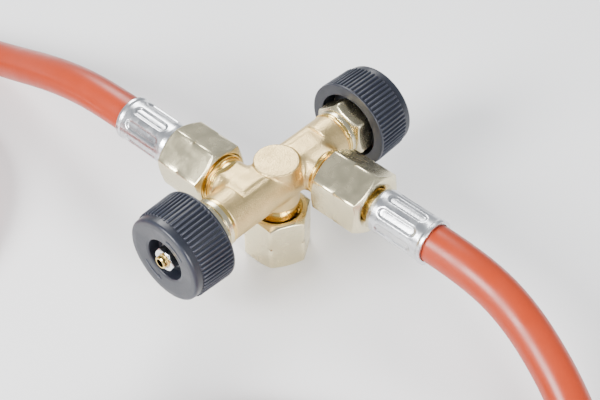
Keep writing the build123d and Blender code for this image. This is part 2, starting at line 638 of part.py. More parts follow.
def hose_tube(name, points, stub_end):
    """A tube along the route, and the straight stub round the barb at one of its ends."""
    radii = arc_radii(points)
    print(name, "arc radii", [round(radius) for radius in radii])
    start, end = Vector(*points[0]), Vector(*points[-1])
    outward = (start - Vector(*points[1])) if stub_end == 0 else (end - Vector(*points[-2]))
    mouth = start if stub_end == 0 else end
    stub = Plane(origin=mouth, z_dir=outward.normalized())
    with BuildPart() as tube:
        with BuildLine() as centre_line:
            FilletPolyline(*points, radius=radii)
        with BuildSketch(Plane(origin=start, z_dir=centre_line.line % 0)):
            Circle(HOSE_RADIUS)
        sweep()
        length = sum(edge.length for edge in centre_line.edges())
        ratio = tube.part.volume / (math.pi * HOSE_RADIUS**2 * length)
        print(name, "length", round(length, 1), "volume over section x length", round(ratio, 4))
        with BuildSketch(stub):
            Circle(HOSE_RADIUS)
        extrude(amount=ferrule_end - hose_start)
        with BuildSketch(stub.offset(ferrule_end - barb_end - HOSE_FIT)):
            Circle(BARB_RADIUS + FIT)
        extrude(amount=barb_end + HOSE_FIT - hose_start, mode=Mode.SUBTRACT)
    return tube.part


def coil_centre(run, side):
    """The coil's turn goes on from the run's last point."""
    end, before = Vector(*run[-1]), Vector(*run[-2])
    heading = (end - before).normalized()
    inward = heading.rotate(Axis.Z, 90 if side < 0 else -90)
    return end + inward * COIL_RADIUS - Vector(0, 0, end.Z)


def top_turn_at(away):
    """Distance of the top turn's centre line from the coil's axis, where its tie is."""
    along = -TOP_CENTRE[0] * math.sin(away) + TOP_CENTRE[1] * math.cos(away)
    sideways = TOP_CENTRE[0] * math.cos(away) + TOP_CENTRE[1] * math.sin(away)
    return along + math.sqrt(TOP_RADIUS**2 - sideways**2)


def two_hoses(plane, wall):
    """Outline pulled tight round the turn on the floor and the one on it, lifted by the tie."""
    with BuildSketch(plane) as outline:
        with Locations(
            (COIL_RADIUS, HOSE_RADIUS + TIE_THICKNESS),
            (top_turn_at(tie_turn), 3 * HOSE_RADIUS + TIE_THICKNESS),
        ):
            Circle(HOSE_RADIUS + wall)
        make_hull()
    return outline.sketch


tie_turn = math.radians(36)
tail_turn = math.radians(37.5)

# The left coil's outer shape: one turn on the floor, and part of one on top of it.
away = Vector(-math.sin(tie_turn), math.cos(tie_turn), 0)
tail_way = Vector(-math.cos(tail_turn), math.sin(tail_turn), 0)
up = Vector(0, 0, 1)
top_centre = Vector(*TOP_CENTRE)
tie_plane = Plane(origin=(0, 0, 0), x_dir=away, z_dir=away.cross(up))
top_plane = Plane(origin=top_centre, x_dir=tail_way, z_dir=tail_way.cross(up))
with BuildPart() as coil:
    with BuildSketch(tie_plane):
        with Locations((COIL_RADIUS, HOSE_RADIUS)):
            Rectangle(2 * HOSE_RADIUS, 2 * HOSE_RADIUS)
    revolve(axis=Axis.Z)
    with BuildSketch(top_plane):
        with Locations((TOP_RADIUS, 3 * HOSE_RADIUS)):
            Rectangle(2 * HOSE_RADIUS, 2 * HOSE_RADIUS)
    revolve(axis=Axis(top_centre, -up), revolution_arc=TOP_ARC)
    # Under the tie the shape is drawn in to the hoses themselves.
    with Locations(tie_plane.location):
        with Locations((COIL_RADIUS, 2 * HOSE_RADIUS, 0)):
            Box(8 * HOSE_RADIUS, 8 * HOSE_RADIUS, TIE_WIDTH + 2 * FIT, mode=Mode.SUBTRACT)
    extrude(two_hoses(tie_plane, -FIT), amount=TIE_WIDTH / 2 + 1, both=True)

with BuildPart() as coil_tie:
    extrude(two_hoses(tie_plane, TIE_THICKNESS), amount=TIE_WIDTH / 2, both=True)
    extrude(two_hoses(tie_plane, 0), amount=TIE_WIDTH, both=True, mode=Mode.SUBTRACT)

for side_name, side, run, nut_turn in (
    ("left", -1, LEFT_RUN, LEFT_NUT_TURN), ("right", 1, RIGHT_RUN, RIGHT_NUT_TURN),
):
    near = hose_plane(side, nut_turn).location
    save(hose_nut.moved(near), f"{side_name}_hose_union_nut")
    save(hose_nipple.part.moved(near), f"{side_name}_hose_nipple")
    save(ferrule.part.moved(near), f"{side_name}_ferrule")
    save(hose_tube(f"{side_name} run", run, 0), f"{side_name}_hose_run")

    centre = coil_centre(run, side)
    for shape, name in ((coil.part, "hose_coil"), (coil_tie.part, "coil_tie")):
        turned = shape if side < 0 else shape.mirror(Plane.XZ)
        save(turned.moved(Location(centre)), f"{side_name}_{name}")

    # The end of the hose goes on from the top turn, and its fitting lies on the coil.
    tail = [(centre.X - west, centre.Y - side * back, height) for west, back, height in TAIL]
    save(hose_tube(f"{side_name} tail", tail, 1), f"{side_name}_hose_tail")
    end_x, end_y, end_height = tail[-1]
    mouth = (end_x, end_y + side * ferrule_end, end_height)
    far = Plane(origin=mouth, x_dir=(1, 0, 0), z_dir=(0, -side, 0))
    save(hose_nut.moved(far.location), f"{side_name}_end_union_nut")
    save(hose_nipple.part.moved(far.location), f"{side_name}_end_nipple")
    save(ferrule.part.moved(far.location), f"{side_name}_end_ferrule")
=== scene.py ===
import math

import bmesh
import bpy
from bpy.props import FloatProperty, FloatVectorProperty, IntProperty, PointerProperty
from mathutils import Matrix, Vector


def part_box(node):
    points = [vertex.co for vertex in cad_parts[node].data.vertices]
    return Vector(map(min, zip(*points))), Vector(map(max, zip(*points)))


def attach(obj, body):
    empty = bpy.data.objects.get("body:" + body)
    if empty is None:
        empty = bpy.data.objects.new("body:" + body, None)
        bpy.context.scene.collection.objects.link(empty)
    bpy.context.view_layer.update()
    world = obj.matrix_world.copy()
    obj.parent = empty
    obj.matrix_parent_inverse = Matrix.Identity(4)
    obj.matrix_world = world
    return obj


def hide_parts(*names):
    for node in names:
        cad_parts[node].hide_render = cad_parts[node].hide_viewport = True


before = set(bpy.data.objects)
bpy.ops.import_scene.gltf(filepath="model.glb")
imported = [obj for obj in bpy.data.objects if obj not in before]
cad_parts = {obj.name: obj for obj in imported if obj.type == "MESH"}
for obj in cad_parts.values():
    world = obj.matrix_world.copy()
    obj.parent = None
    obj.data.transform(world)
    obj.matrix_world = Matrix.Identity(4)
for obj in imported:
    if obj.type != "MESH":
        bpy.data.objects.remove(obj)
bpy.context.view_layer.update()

# Two-way gas distributor: the finished look of every piece, in metres, in the frame's own axes.
# +Z is up and the barrel with both valves lies along X. The left valve and hose are at -X and
# +Y, the right ones are the same pieces turned half a turn about Z.

bl_info = {
    "name": "Gas Distributor",
    "version": (1, 0, 0),
    "blender": (4, 5, 0),
    "location": "3D View > Sidebar > Distributor",
    "description": "Builds a two-way gas distributor with its valves, union nuts and hoses",
    "category": "Add Mesh",
}

MM = 0.001
SIDES = (("left", -1), ("right", 1))
GROUP = "distributor"


def middle(node):
    low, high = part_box(node)
    return (low + high) / 2


AXIS_HEIGHT = middle("left_hose_union_nut").z
OUTLET_OFFSET = middle("right_hose_union_nut").x
BARREL_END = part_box("distributor_body")[1].x
OUTLET_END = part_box("distributor_body")[1].y
NECK_END = 0.009
BONNET_BORE_RADIUS, BONNET_BORE_START = 0.0056, 0.0155
BOSS_BOTTOM = AXIS_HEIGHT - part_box("distributor_body")[0].z
NUT_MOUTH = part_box("left_hose_union_nut")[0].y
NUT_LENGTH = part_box("inlet_union_nut")[1].z
WHEEL_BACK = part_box("right_handwheel")[0].x
WHEEL_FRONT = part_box("right_handwheel")[1].x
HUB_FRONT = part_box("right_handwheel_washer")[0].x
STUD_NUT = (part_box("right_handwheel_nut")[0].x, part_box("right_handwheel_nut")[1].x)
STUD_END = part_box("right_upper_spindle")[1].x
BONNET_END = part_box("right_bonnet")[1].x
FERRULE = (
    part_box("left_ferrule")[0].y - NUT_MOUTH,
    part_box("left_ferrule")[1].y - NUT_MOUTH,
)

# How the hexagons happen to be turned: the angle of one corner, in degrees.
HOSE_NUT_TURNS = {"left": 101, "right": 89}
INLET_NUT_TURN = -147.5
BONNET_TURN = 20

# The two hoses from the ferrule to the coil.
HOSE_RUNS = {
    "left": [
        (-0.0116, 0.0515, 0.030), (-0.0116, 0.0655, 0.030), (-0.011, 0.083, 0.0264),
        (-0.010, 0.101, 0.0198), (-0.0095, 0.118, 0.013), (-0.0102, 0.133, 0.0086),
        (-0.0153, 0.1493, 0.0065), (-0.0263, 0.1637, 0.006), (-0.041, 0.174, 0.006),
        (-0.060, 0.1786, 0.006), (-0.0805, 0.179, 0.006), (-0.101, 0.179, 0.006),
    ],
    "right": [
        (0.0116, -0.0515, 0.030), (0.0116, -0.066, 0.030), (0.0103, -0.0825, 0.0264),
        (0.0057, -0.100, 0.019), (-0.0018, -0.1155, 0.0124), (-0.013, -0.1288, 0.008),
        (-0.028, -0.1378, 0.0062), (-0.045, -0.1412, 0.006), (-0.0645, -0.1417, 0.006),
        (-0.0843, -0.1413, 0.006), (-0.1034, -0.1413, 0.006),
    ],
}
# From the coil's top to the end fitting: from the coil's centre towards -X, back along the
# hose, and height.
HOSE_TAIL = [
    (0.0413, 0.038, 0.0192), (0.0483, 0.0257, 0.0215), (0.052, 0.0121, 0.02307),
    (0.052, -0.002, 0.02307),
]
# The part turn on top has its own centre: from the coil's, towards +X and back along the hose.
TOP_CENTRE = (0.0017, 0.005)
# Degrees from the coil's start where the hose climbs onto the first turn.
CLIMB = (268, 340)
STRAP_REACH = 32
WEAVE_LENGTH = 0.016


# ================================================================ sizes and colours
def measure(name, description, value):
    return FloatProperty(name=name, description=description, default=value, unit="LENGTH")


class HoseSizes(bpy.types.PropertyGroup):
    diameter: measure("Diameter", "Outside of the hose", 0.012)
    length: measure("Length", "Each hose from ferrule to ferrule", 0.65)
    coil_radius: measure("Coil", "Centre line of the turn on the floor", 0.059)
    top_radius: measure("Top turn", "Centre line of the part turn on top", 0.0537)
    coil_turn: FloatProperty(
        name="Turns", description="Angle wound before the tail leaves the top turn",
        default=math.radians(412.5), subtype="ANGLE")
    strap_turn: FloatProperty(
        name="Strap", description="Angle from the coil's start to its strap",
        default=math.radians(36), subtype="ANGLE")
    strap_lift: measure("Strap lift", "How far the strap under it lifts the hose", 0.0012)
    points_per_turn: IntProperty(
        name="Points", description="Points of the line in one turn of the coil", default=24,
        min=12)
    tie_width: measure("Tie width", "Width of the strap round a coil", 0.0156)
    tie_thickness: measure("Tie thickness", "Thickness of the strap", 0.0011)


class ForgingSizes(bpy.types.PropertyGroup):
    barrel_radius: measure("Barrel", "Radius of the barrel", 0.0076)
    neck_radius: measure("Neck", "Radius of an outlet's neck", 0.0074)
    pad_radius: measure("Pad", "Radius of the round boss", 0.007)
    pad_top: measure("Pad top", "Height of the pad over the axis", 0.0072)
    flat_top: measure("Flat top", "Height of the forged flat over the axis", 0.0066)
    flat_half: measure("Flat length", "Half the length of the forged flat", 0.0175)
    blend: measure("Blend", "Softness of the forged inside corners", 0.0022)
    voxel: measure("Fineness", "Spacing of the grid that the forging is cut from", 0.0003)


class ThreadSizes(bpy.types.PropertyGroup):
    crest: measure("Crest", "Radius of an outlet's thread", 0.0082)
    pitch: measure("Pitch", "Of the pipe thread, 19 to the inch", 0.001337)
    depth: measure("Depth", "Depth of the pipe thread", 0.00062)
    stud_pitch: measure("Stud pitch", "Of the stud's thread", 0.0007)


class NutSizes(bpy.types.PropertyGroup):
    flats: measure("Across flats", "Union nuts", 0.019)
    face_inset: measure("Face inset", "End circle inside the flats", 0.0005)
    notch: measure("Notch", "Cut round the corners, the sign of a left-hand thread", 0.0005)
    bonnet_flats: measure("Bonnet flats", "Across the bonnet's flats", 0.017)
    stud_flats: measure("Stud nut flats", "Across the stud nut's flats", 0.007)
    softness: measure("Softness", "Rounding of the hexagons' edges", 0.00012)


class WheelSizes(bpy.types.PropertyGroup):
    radius: measure("Radius", "Over the ribs at the back", 0.0146)
    draft: FloatProperty(
        name="Draft", description="Taper towards the front", default=math.radians(2),
        subtype="ANGLE")
    ribs: IntProperty(name="Ribs", description="Grip ribs round the wheel", default=60, min=8)
    rib_height: measure("Rib height", "Height of a rib", 0.00055)
    rib_width: measure("Rib width", "Width of a rib", 0.0008)
    cap_length: measure("Cap", "Smooth cap in front of the ribs", 0.0027)
    hollow_radius: measure("Hollow", "Hollow at the back", 0.0108)
    recess_radius: measure("Recess", "Recess of the stud nut", 0.0067)


class FerruleSizes(bpy.types.PropertyGroup):
    pressings: IntProperty(
        name="Pressings", description="Marks of the crimping jaws", default=8, min=3)
    length: measure("Length", "Length of a pressing", 0.014)
    width: measure("Width", "Width of a pressing", 0.0037)
    depth: measure("Depth", "Depth of a pressing", 0.00055)
    start: measure("Start", "From the ferrule's front to the pressings", 0.003)


def colour(name, description, value):
    return FloatVectorProperty(
        name=name, description=description, default=value, subtype="COLOR", size=3, min=0, max=1)


class Finishes(bpy.types.PropertyGroup):
    forged: colour("Forged brass", "Blasted skin of the forging", (0.76, 0.57, 0.27))
    turned: colour("Turned brass", "Threads, rings and nipples", (0.82, 0.60, 0.21))
    nut: colour("Nut brass", "Clear-plated union nuts and bonnets", (0.78, 0.70, 0.47))
    zinc: colour("Zinc", "Plated steel of the ferrules", (0.72, 0.73, 0.75))
    steel: colour("Steel", "Nickel-plated small parts", (0.80, 0.79, 0.77))
    plastic: colour("Plastic", "Handwheels", (0.012, 0.014, 0.022))
    hose: colour("Hose", "Rubber of the hoses", (0.40, 0.038, 0.006))
    tie: colour("Tie", "Woven strap of a coil", (0.03, 0.03, 0.035))


SETTINGS = {
    "hoses": HoseSizes, "forging": ForgingSizes, "threads": ThreadSizes, "nuts": NutSizes,
    "wheels": WheelSizes, "ferrules": FerruleSizes, "finishes": Finishes,
}


def settings(name):
    return getattr(bpy.context.scene, f"{GROUP}_{name}")


# ================================================================ places
def placing(origin, axis, corner):
    """Puts local Z on the axis and local X on the corner's direction."""
    z = Vector(axis).normalized()
    x = (Vector(corner) - z * z.dot(Vector(corner))).normalized()
    place = Matrix((x, z.cross(x), z)).transposed().to_4x4()
    place.translation = origin
    return place


def valve_place(side):
    return placing((0, 0, AXIS_HEIGHT), (side, 0, 0), (0, -side, 0))


def fitting_place(nut_node, side, turn):
    """Local Z runs from the mouth of a union nut towards its hose."""
    low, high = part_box(nut_node)
    centre = (low + high) / 2
    mouth = Vector((centre.x, low.y if side < 0 else high.y, centre.z))
    angle = math.radians(turn)
    return placing(mouth, (0, -side, 0), (math.cos(angle), 0, math.sin(angle)))


def fittings():
    """(name, place, ferrule's node) of the four fittings on the hoses."""
    found = []
    for name, side in SIDES:
        near = fitting_place(f"{name}_hose_union_nut", side, HOSE_NUT_TURNS[name])
        far = fitting_place(f"{name}_end_union_nut", side, 0)
        found.append((f"{name}_hose", near, f"{name}_ferrule"))
        found.append((f"{name}_end", far, f"{name}_end_ferrule"))
    return found


# ================================================================ meshes
def mark_edges(mesh):
    """Stores how convex (edge) and how hollow (corner) the surface is at each point: the masks
    for edge wear with a painted highlight and for painted corner shade.
    """
    bend = [0.0] * len(mesh.vertices)
    count = [0] * len(mesh.vertices)
    for a, b in (edge.vertices for edge in mesh.edges):
        way = (mesh.vertices[b].co - mesh.vertices[a].co).normalized()
        bend[a] += way.dot(mesh.vertices[a].normal)
        bend[b] -= way.dot(mesh.vertices[b].normal)
        count[a] += 1
        count[b] += 1
    values = [total / max(number, 1) for total, number in zip(bend, count)]
    for name, sign in (("edge", -1), ("corner", 1)):
        layer = mesh.attributes.new(name, "FLOAT", "POINT")
        layer.data.foreach_set("value", [min(max(sign * v * 9 - 0.25, 0), 1) for v in values])


def piece(name, mesh, material, body, replaced=(), smooth_angle=38):
    """Shows a finished mesh as a piece that rides on a body."""
    mesh.name = name
    mesh.shade_smooth()
    mesh.set_sharp_from_angle(angle=math.radians(smooth_angle))
    mark_edges(mesh)
    mesh.materials.clear()
    mesh.materials.append(material)
    shown = bpy.data.objects.new(name, mesh)
    bpy.context.scene.collection.objects.link(shown)
    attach(shown, body)
    if replaced:
        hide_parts(*replaced)


def closed(made, name):
    """The mesh of a closed shape, with its faces pointing outwards."""
    bmesh.ops.recalc_face_normals(made, faces=made.faces)
    mesh = bpy.data.meshes.new(name)
    made.to_mesh(mesh)
    made.free()
    return mesh


def bar(name, rows):
    """A closed bar through rows of points."""
    made = bmesh.new()
    rows = [[made.verts.new(point) for point in row] for row in rows]
    for first, second in zip(rows, rows[1:]):
        for index in range(len(first)):
            after = (index + 1) % len(first)
            made.faces.new((first[index], first[after], second[after], second[index]))
    for row in (rows[0], rows[-1]):
        made.faces.new(row)
    return closed(made, name)


def joined(meshes):
    """One mesh of several."""
    made = bmesh.new()
    for mesh in meshes:
        made.from_mesh(mesh)
    whole = bpy.data.meshes.new("joined")
    made.to_mesh(whole)
    made.free()
    return whole


def ramp(start, end, parts):
    """Sharp points along a straight stretch, for a shape that varies round it."""
    first, last = Vector(start), Vector(end)
    return [(*first.lerp(last, part / parts), 0) for part in range(parts + 1)]


def soft_outline(corners):
    """A closed outline of (radius, height, rounding) with its corners rounded."""
    points = []
    for index, (radius, height, rounding) in enumerate(corners):
        corner = Vector((radius, height))
        before = Vector(corners[index - 1][:2]) - corner
        after = Vector(corners[(index + 1) % len(corners)][:2]) - corner
        if rounding == 0:
            points.append(corner)
            continue
        turn = before.angle(after)
        reach = min(rounding / math.tan(turn / 2), 0.48 * before.length, 0.48 * after.length)
        near, far = corner + before.normalized() * reach, corner + after.normalized() * reach
        for share in (0, 0.2, 0.4, 0.6, 0.8, 1):
            points.append(near.lerp(corner, share).lerp(corner.lerp(far, share), share))
    return points


def turned(outline, place, angles=72, rule=None):
    """Turns a closed outline of (radius, height) round local Z. A rule may change a radius."""
    if isinstance(angles, int):
        angles = [2 * math.pi * index / angles for index in range(angles)]
    made = bmesh.new()
    columns = []
    for angle in angles:
        column = []
        for radius, height in outline:
            reach = rule(angle, radius, height) if rule else radius
            spot = (reach * math.cos(angle), reach * math.sin(angle), height)
            column.append(made.verts.new(spot))
        columns.append(column)
    for first, second in zip(columns, columns[1:] + columns[:1]):
        for row in range(len(outline)):
            after = (row + 1) % len(outline)
            made.faces.new((first[row], second[row], second[after], first[after]))
    bmesh.ops.remove_doubles(made, verts=made.verts, dist=1e-7)
    mesh = closed(made, "turned")
    mesh.transform(place)
    return mesh


HEXAGON_STEPS = (-21, -14, -8, -4.5, -2.4, -1.3, -0.6, 0, 0.6, 1.3, 2.4, 4.5, 8, 14, 21, 30)


CHAMFER = math.tan(math.radians(30))


def corner_radius(flats):
    return flats / 2 / math.cos(math.radians(30))


def hexagon_angles():
    """Angles round a hexagon, closer together beside its corners."""
    return [math.radians(60 * side + step) for side in range(6) for step in HEXAGON_STEPS]


def hexagon(flats, softness):
    """Rule that keeps a turned shape inside a hexagon with slightly rounded edges."""
    def inside(angle, radius, height):
        limits = [radius]
        for side in range(6):
            facing = math.cos(angle - math.radians(60 * side + 30))
            if facing > 0.3:
                limits.append(flats / 2 / facing)
        least = min(limits)
        total = sum(math.exp((least - limit) / softness) for limit in limits)
        return least - softness * math.log(total)
    return inside


# ================================================================ node trees
class Value:
    """A number or a field in a node tree, with Python's signs for its Math nodes."""

    def __init__(self, tree, source):
        self.tree = tree
        self.source = source

    def math(self, operation, *others):
        node = self.tree.nodes.new("ShaderNodeMath")
        node.operation = operation
        for socket, value in zip(node.inputs, (self, *others)):
            if isinstance(value, Value):
                self.tree.links.new(value.source, socket)
            else:
                socket.default_value = value
        return Value(self.tree, node.outputs[0])

    def __add__(self, other):
        return self.math("ADD", other)

    def __sub__(self, other):
        return self.math("SUBTRACT", other)

    def __mul__(self, other):
        return self.math("MULTIPLY", other)

    def __truediv__(self, other):
        return self.math("DIVIDE", other)

    def __neg__(self):
        return self.math("MULTIPLY", -1)

    def size(self):
        return self.math("ABSOLUTE")

    def least(self, other):
        return self.math("MINIMUM", other)

    def most(self, other):
        return self.math("MAXIMUM", other)

    def blend(self, other, softness):
        return self.math("SMOOTH_MIN", other, softness)

    def cut(self, other, softness):
        return self.math("SMOOTH_MAX", -other, softness)


def distance(first, second):
    """Distance from the axis that two coordinates are measured from."""
    return (first * first + second * second).math("SQRT")


def slab(value, low, high):
    """Signed distance from the layer between two values."""
    return (value - high).most(-(value - low))


def new_tree(name, kind, inputs, outputs):
    """A node tree with named sockets, each given as (name, type, default)."""
    tree = bpy.data.node_groups.new(name, kind)
    for way, sockets in (("INPUT", inputs), ("OUTPUT", outputs)):
        for socket_name, socket_type, default in sockets:
            made = tree.interface.new_socket(socket_name, in_out=way, socket_type=socket_type)
            if default is not None:
                made.default_value = default
    return tree, tree.nodes.new("NodeGroupInput"), tree.nodes.new("NodeGroupOutput")


def add(tree, kind, inputs=None, **settings_of_node):
    """A node with its settings, its inputs linked or set by name."""
    node = tree.nodes.new(kind)
    for key, value in settings_of_node.items():
        setattr(node, key, value)
    for key, value in (inputs or {}).items():
        if isinstance(value, Value):
            value = value.source
        if isinstance(value, bpy.types.NodeSocket):
            tree.links.new(value, node.inputs[key])
        else:
            node.inputs[key].default_value = value
    return node


def finish_tree(tree, start, end, geometry):
    """Every tree of geometry ends in real faces with their material."""
    real = add(tree, "GeometryNodeRealizeInstances", {"Geometry": geometry})
    painted = add(tree, "GeometryNodeSetMaterial", {
        "Geometry": real.outputs[0], "Material": start.outputs["Material"]})
    tree.links.new(painted.outputs[0], end.inputs["Geometry"])


def grown(tree, values, mesh=None):
    """The plain mesh that a tree makes with these values."""
    seed = bpy.data.objects.new("seed", mesh or bpy.data.meshes.new("seed"))
    modifier = seed.modifiers.new("grow", "NODES")
    modifier.node_group = tree
    for item in tree.interface.items_tree:
        if item.in_out == "INPUT" and item.name in values:
            modifier[item.identifier] = values[item.name]
    bpy.context.scene.collection.objects.link(seed)
    graph = bpy.context.evaluated_depsgraph_get()
    made = bpy.data.meshes.new_from_object(seed.evaluated_get(graph), depsgraph=graph)
    bpy.data.objects.remove(seed)
    return made


def ring_tree():
    """Repeats the incoming piece round Z."""
    tree, start, end = new_tree("ring_of_pieces", "GeometryNodeTree", [
        ("Geometry", "NodeSocketGeometry", None), ("Count", "NodeSocketInt", 12),
        ("First Angle", "NodeSocketFloat", 0.0), ("Material", "NodeSocketMaterial", None),
    ], [("Geometry", "NodeSocketGeometry", None)])
    points = add(tree, "GeometryNodeMeshLine", {
        "Count": start.outputs["Count"], "Offset": (0, 0, 0)})
    number = Value(tree, add(tree, "GeometryNodeInputIndex").outputs[0])
    count = Value(tree, start.outputs["Count"])
    angle = number / count * (2 * math.pi) + Value(tree, start.outputs["First Angle"])
    turn = add(tree, "ShaderNodeCombineXYZ", {"Z": angle})
    copies = add(tree, "GeometryNodeInstanceOnPoints", {
        "Points": points.outputs[0], "Instance": start.outputs["Geometry"],
        "Rotation": turn.outputs[0]})
    finish_tree(tree, start, end, copies.outputs[0])
    return tree


def thread_tree():
    """A helical ridge round Z, for every thread that shows."""
    tree, start, end = new_tree("screw_thread", "GeometryNodeTree", [
        ("Radius", "NodeSocketFloat", 0.008), ("Pitch", "NodeSocketFloat", 0.0013),
        ("Turns", "NodeSocketFloat", 3.0), ("Depth", "NodeSocketFloat", 0.0006),
        ("Left Hand", "NodeSocketBool", True), ("Material", "NodeSocketMaterial", None),
    ], [("Geometry", "NodeSocketGeometry", None)])
    turns = Value(tree, start.outputs["Turns"])
    radius = Value(tree, start.outputs["Radius"])
    ridge = Value(tree, start.outputs["Depth"]) * 0.5
    helix = add(tree, "GeometryNodeCurveSpiral", {
        "Resolution": 72, "Rotations": turns, "Start Radius": radius - ridge,
        "End Radius": radius - ridge, "Height": turns * Value(tree, start.outputs["Pitch"]),
        "Reverse": start.outputs["Left Hand"]})
    upright = add(tree, "GeometryNodeSetCurveNormal", {"Curve": helix.outputs[0]}, mode="Z_UP")
    section = add(tree, "GeometryNodeCurvePrimitiveCircle", {"Resolution": 8, "Radius": ridge})
    swept = add(tree, "GeometryNodeCurveToMesh", {
        "Curve": upright.outputs[0], "Profile Curve": section.outputs[0], "Fill Caps": True})
    finish_tree(tree, start, end, swept.outputs[0])
    return tree


def pressing_tree():
    """Presses long round-ended marks into a shell that is turned round Z."""
    tree, start, end = new_tree("jaw_pressings", "GeometryNodeTree", [
        ("Geometry", "NodeSocketGeometry", None), ("Count", "NodeSocketInt", 8),
        ("Middle", "NodeSocketFloat", 0.03), ("Length", "NodeSocketFloat", 0.014),
        ("Width", "NodeSocketFloat", 0.0036), ("Depth", "NodeSocketFloat", 0.0005),
        ("Outside", "NodeSocketFloat", 0.0066), ("Material", "NodeSocketMaterial", None),
    ], [("Geometry", "NodeSocketGeometry", None)])
    place = add(tree, "GeometryNodeInputPosition").outputs[0]
    split = add(tree, "ShaderNodeSeparateXYZ", {"Vector": place})
    x, y, z = (Value(tree, split.outputs[axis]) for axis in range(3))
    width = Value(tree, start.outputs["Width"])
    radius = distance(x, y)
    share = y.math("ARCTAN2", x) / (2 * math.pi) * Value(tree, start.outputs["Count"])
    across = (share - share.math("ROUND")) / Value(tree, start.outputs["Count"])
    sideways = across * (2 * math.pi) * radius
    straight = (Value(tree, start.outputs["Length"]) - width) * 0.5
    along = ((z - Value(tree, start.outputs["Middle"])).size() - straight).most(0)
    inside = width * 0.5 - distance(sideways, along)
    soft = (inside / (width * 0.22)).least(1).most(0)
    press = soft * soft * (-(soft * 2) + 3) * Value(tree, start.outputs["Depth"])
    outer = radius.math("GREATER_THAN", Value(tree, start.outputs["Outside"]))
    shrink = -(press * outer / radius)
    move = add(tree, "ShaderNodeCombineXYZ", {"X": x * shrink, "Y": y * shrink})
    pressed = add(tree, "GeometryNodeSetPosition", {
        "Geometry": start.outputs["Geometry"], "Offset": move.outputs[0]})
    finish_tree(tree, start, end, pressed.outputs[0])
    return tree


def forging_tree():
    """The forged body as one soft shape: barrel, necks, boss, flats and bores."""
    lengths = [
        "Barrel Radius", "Barrel Half", "Neck Radius", "Neck End", "Neck Offset", "Pad Radius",
        "Pad Top", "Boss Bottom", "Flat Top", "Flat Half", "Blend", "Voxel", "Bore Radius",
        "Bore Start",
    ]
    tree, start, end = new_tree(
        "forged_body", "GeometryNodeTree",
        [(name, "NodeSocketFloat", 0.005) for name in lengths]
        + [("Material", "NodeSocketMaterial", None)],
        [("Geometry", "NodeSocketGeometry", None)],
    )
    size = {name: Value(tree, start.outputs[name]) for name in lengths}
    place = add(tree, "GeometryNodeInputPosition").outputs[0]
    split = add(tree, "ShaderNodeSeparateXYZ", {"Vector": place})
    x, y, z = (Value(tree, split.outputs[axis]) for axis in range(3))
    blend = size["Blend"]

    barrel = distance(y, z) - size["Barrel Radius"]
    flat = (-(z - size["Flat Top"])).most(x.size() - size["Flat Half"])
    shape = barrel.cut(flat, blend * 0.35)
    for side in (-1, 1):
        from_axis = distance(x - size["Neck Offset"] * side, z) - size["Neck Radius"]
        neck = from_axis.most(slab(y * -side, -size["Neck Radius"] * 0.2, size["Neck End"]))
        neck = neck.math("SMOOTH_MAX", z - size["Flat Top"], blend * 0.35)
        shape = shape.blend(neck, blend)
    shape = shape.most(x.size() - size["Barrel Half"])
    boss = (distance(x, y) - size["Pad Radius"]).math(
        "SMOOTH_MAX", slab(z, -size["Boss Bottom"], size["Pad Top"]), blend * 0.2)
    shape = shape.blend(boss, blend * 0.4)
    bore = (distance(y, z) - size["Bore Radius"]).most(-(x.size() - size["Bore Start"]))
    shape = shape.most(-bore)

    reach = add(tree, "ShaderNodeCombineXYZ", {
        "X": size["Barrel Half"] + 0.001, "Y": size["Neck End"] + 0.001,
        "Z": size["Boss Bottom"] + 0.001})
    opposite = add(tree, "ShaderNodeVectorMath", {0: reach.outputs[0], "Scale": -1.0},
                   operation="SCALE")
    steps = [
        (edge + 0.001) * 2 / size["Voxel"]
        for edge in (size["Barrel Half"], size["Neck End"], size["Boss Bottom"])
    ]
    volume = add(tree, "GeometryNodeVolumeCube", {
        "Density": -(shape * 1000), "Background": -1.0, "Min": opposite.outputs[0],
        "Max": reach.outputs[0], "Resolution X": steps[0], "Resolution Y": steps[1],
        "Resolution Z": steps[2]})
    skin = add(tree, "GeometryNodeVolumeToMesh", {
        "Volume": volume.outputs[0], "Threshold": 0.0, "Adaptivity": 0.0})
    finish_tree(tree, start, end, skin.outputs[0])
    return tree


# ================================================================ effects shared by finishes
def grain_group():
    """Fine pits of a blasted or moulded skin."""
    tree, start, end = new_tree("skin_grain", "ShaderNodeTree", [
        ("Scale", "NodeSocketFloat", 3000.0),
    ], [("Height", "NodeSocketFloat", None), ("Tone", "NodeSocketFloat", None)])
    place = add(tree, "ShaderNodeTexCoord").outputs["Object"]
    scale = Value(tree, start.outputs["Scale"])
    pits = add(tree, "ShaderNodeTexVoronoi", {"Vector": place, "Scale": scale})
    cloud = add(tree, "ShaderNodeTexNoise", {
        "Vector": place, "Scale": scale * 0.45, "Detail": 4.0, "Roughness": 0.65})
    soft = Value(tree, cloud.outputs[0])
    tree.links.new((Value(tree, pits.outputs[0]) * 0.6 + soft).source, end.inputs["Height"])
    broad = add(tree, "ShaderNodeTexNoise", {
        "Vector": place, "Scale": scale * 0.12, "Detail": 3.0})
    tone = (soft * 0.6 + Value(tree, broad.outputs[0]) * 0.7 - 0.35).math("MULTIPLY", 1.8)
    tree.links.new(tone.least(1).most(0).source, end.inputs["Tone"])
    return tree


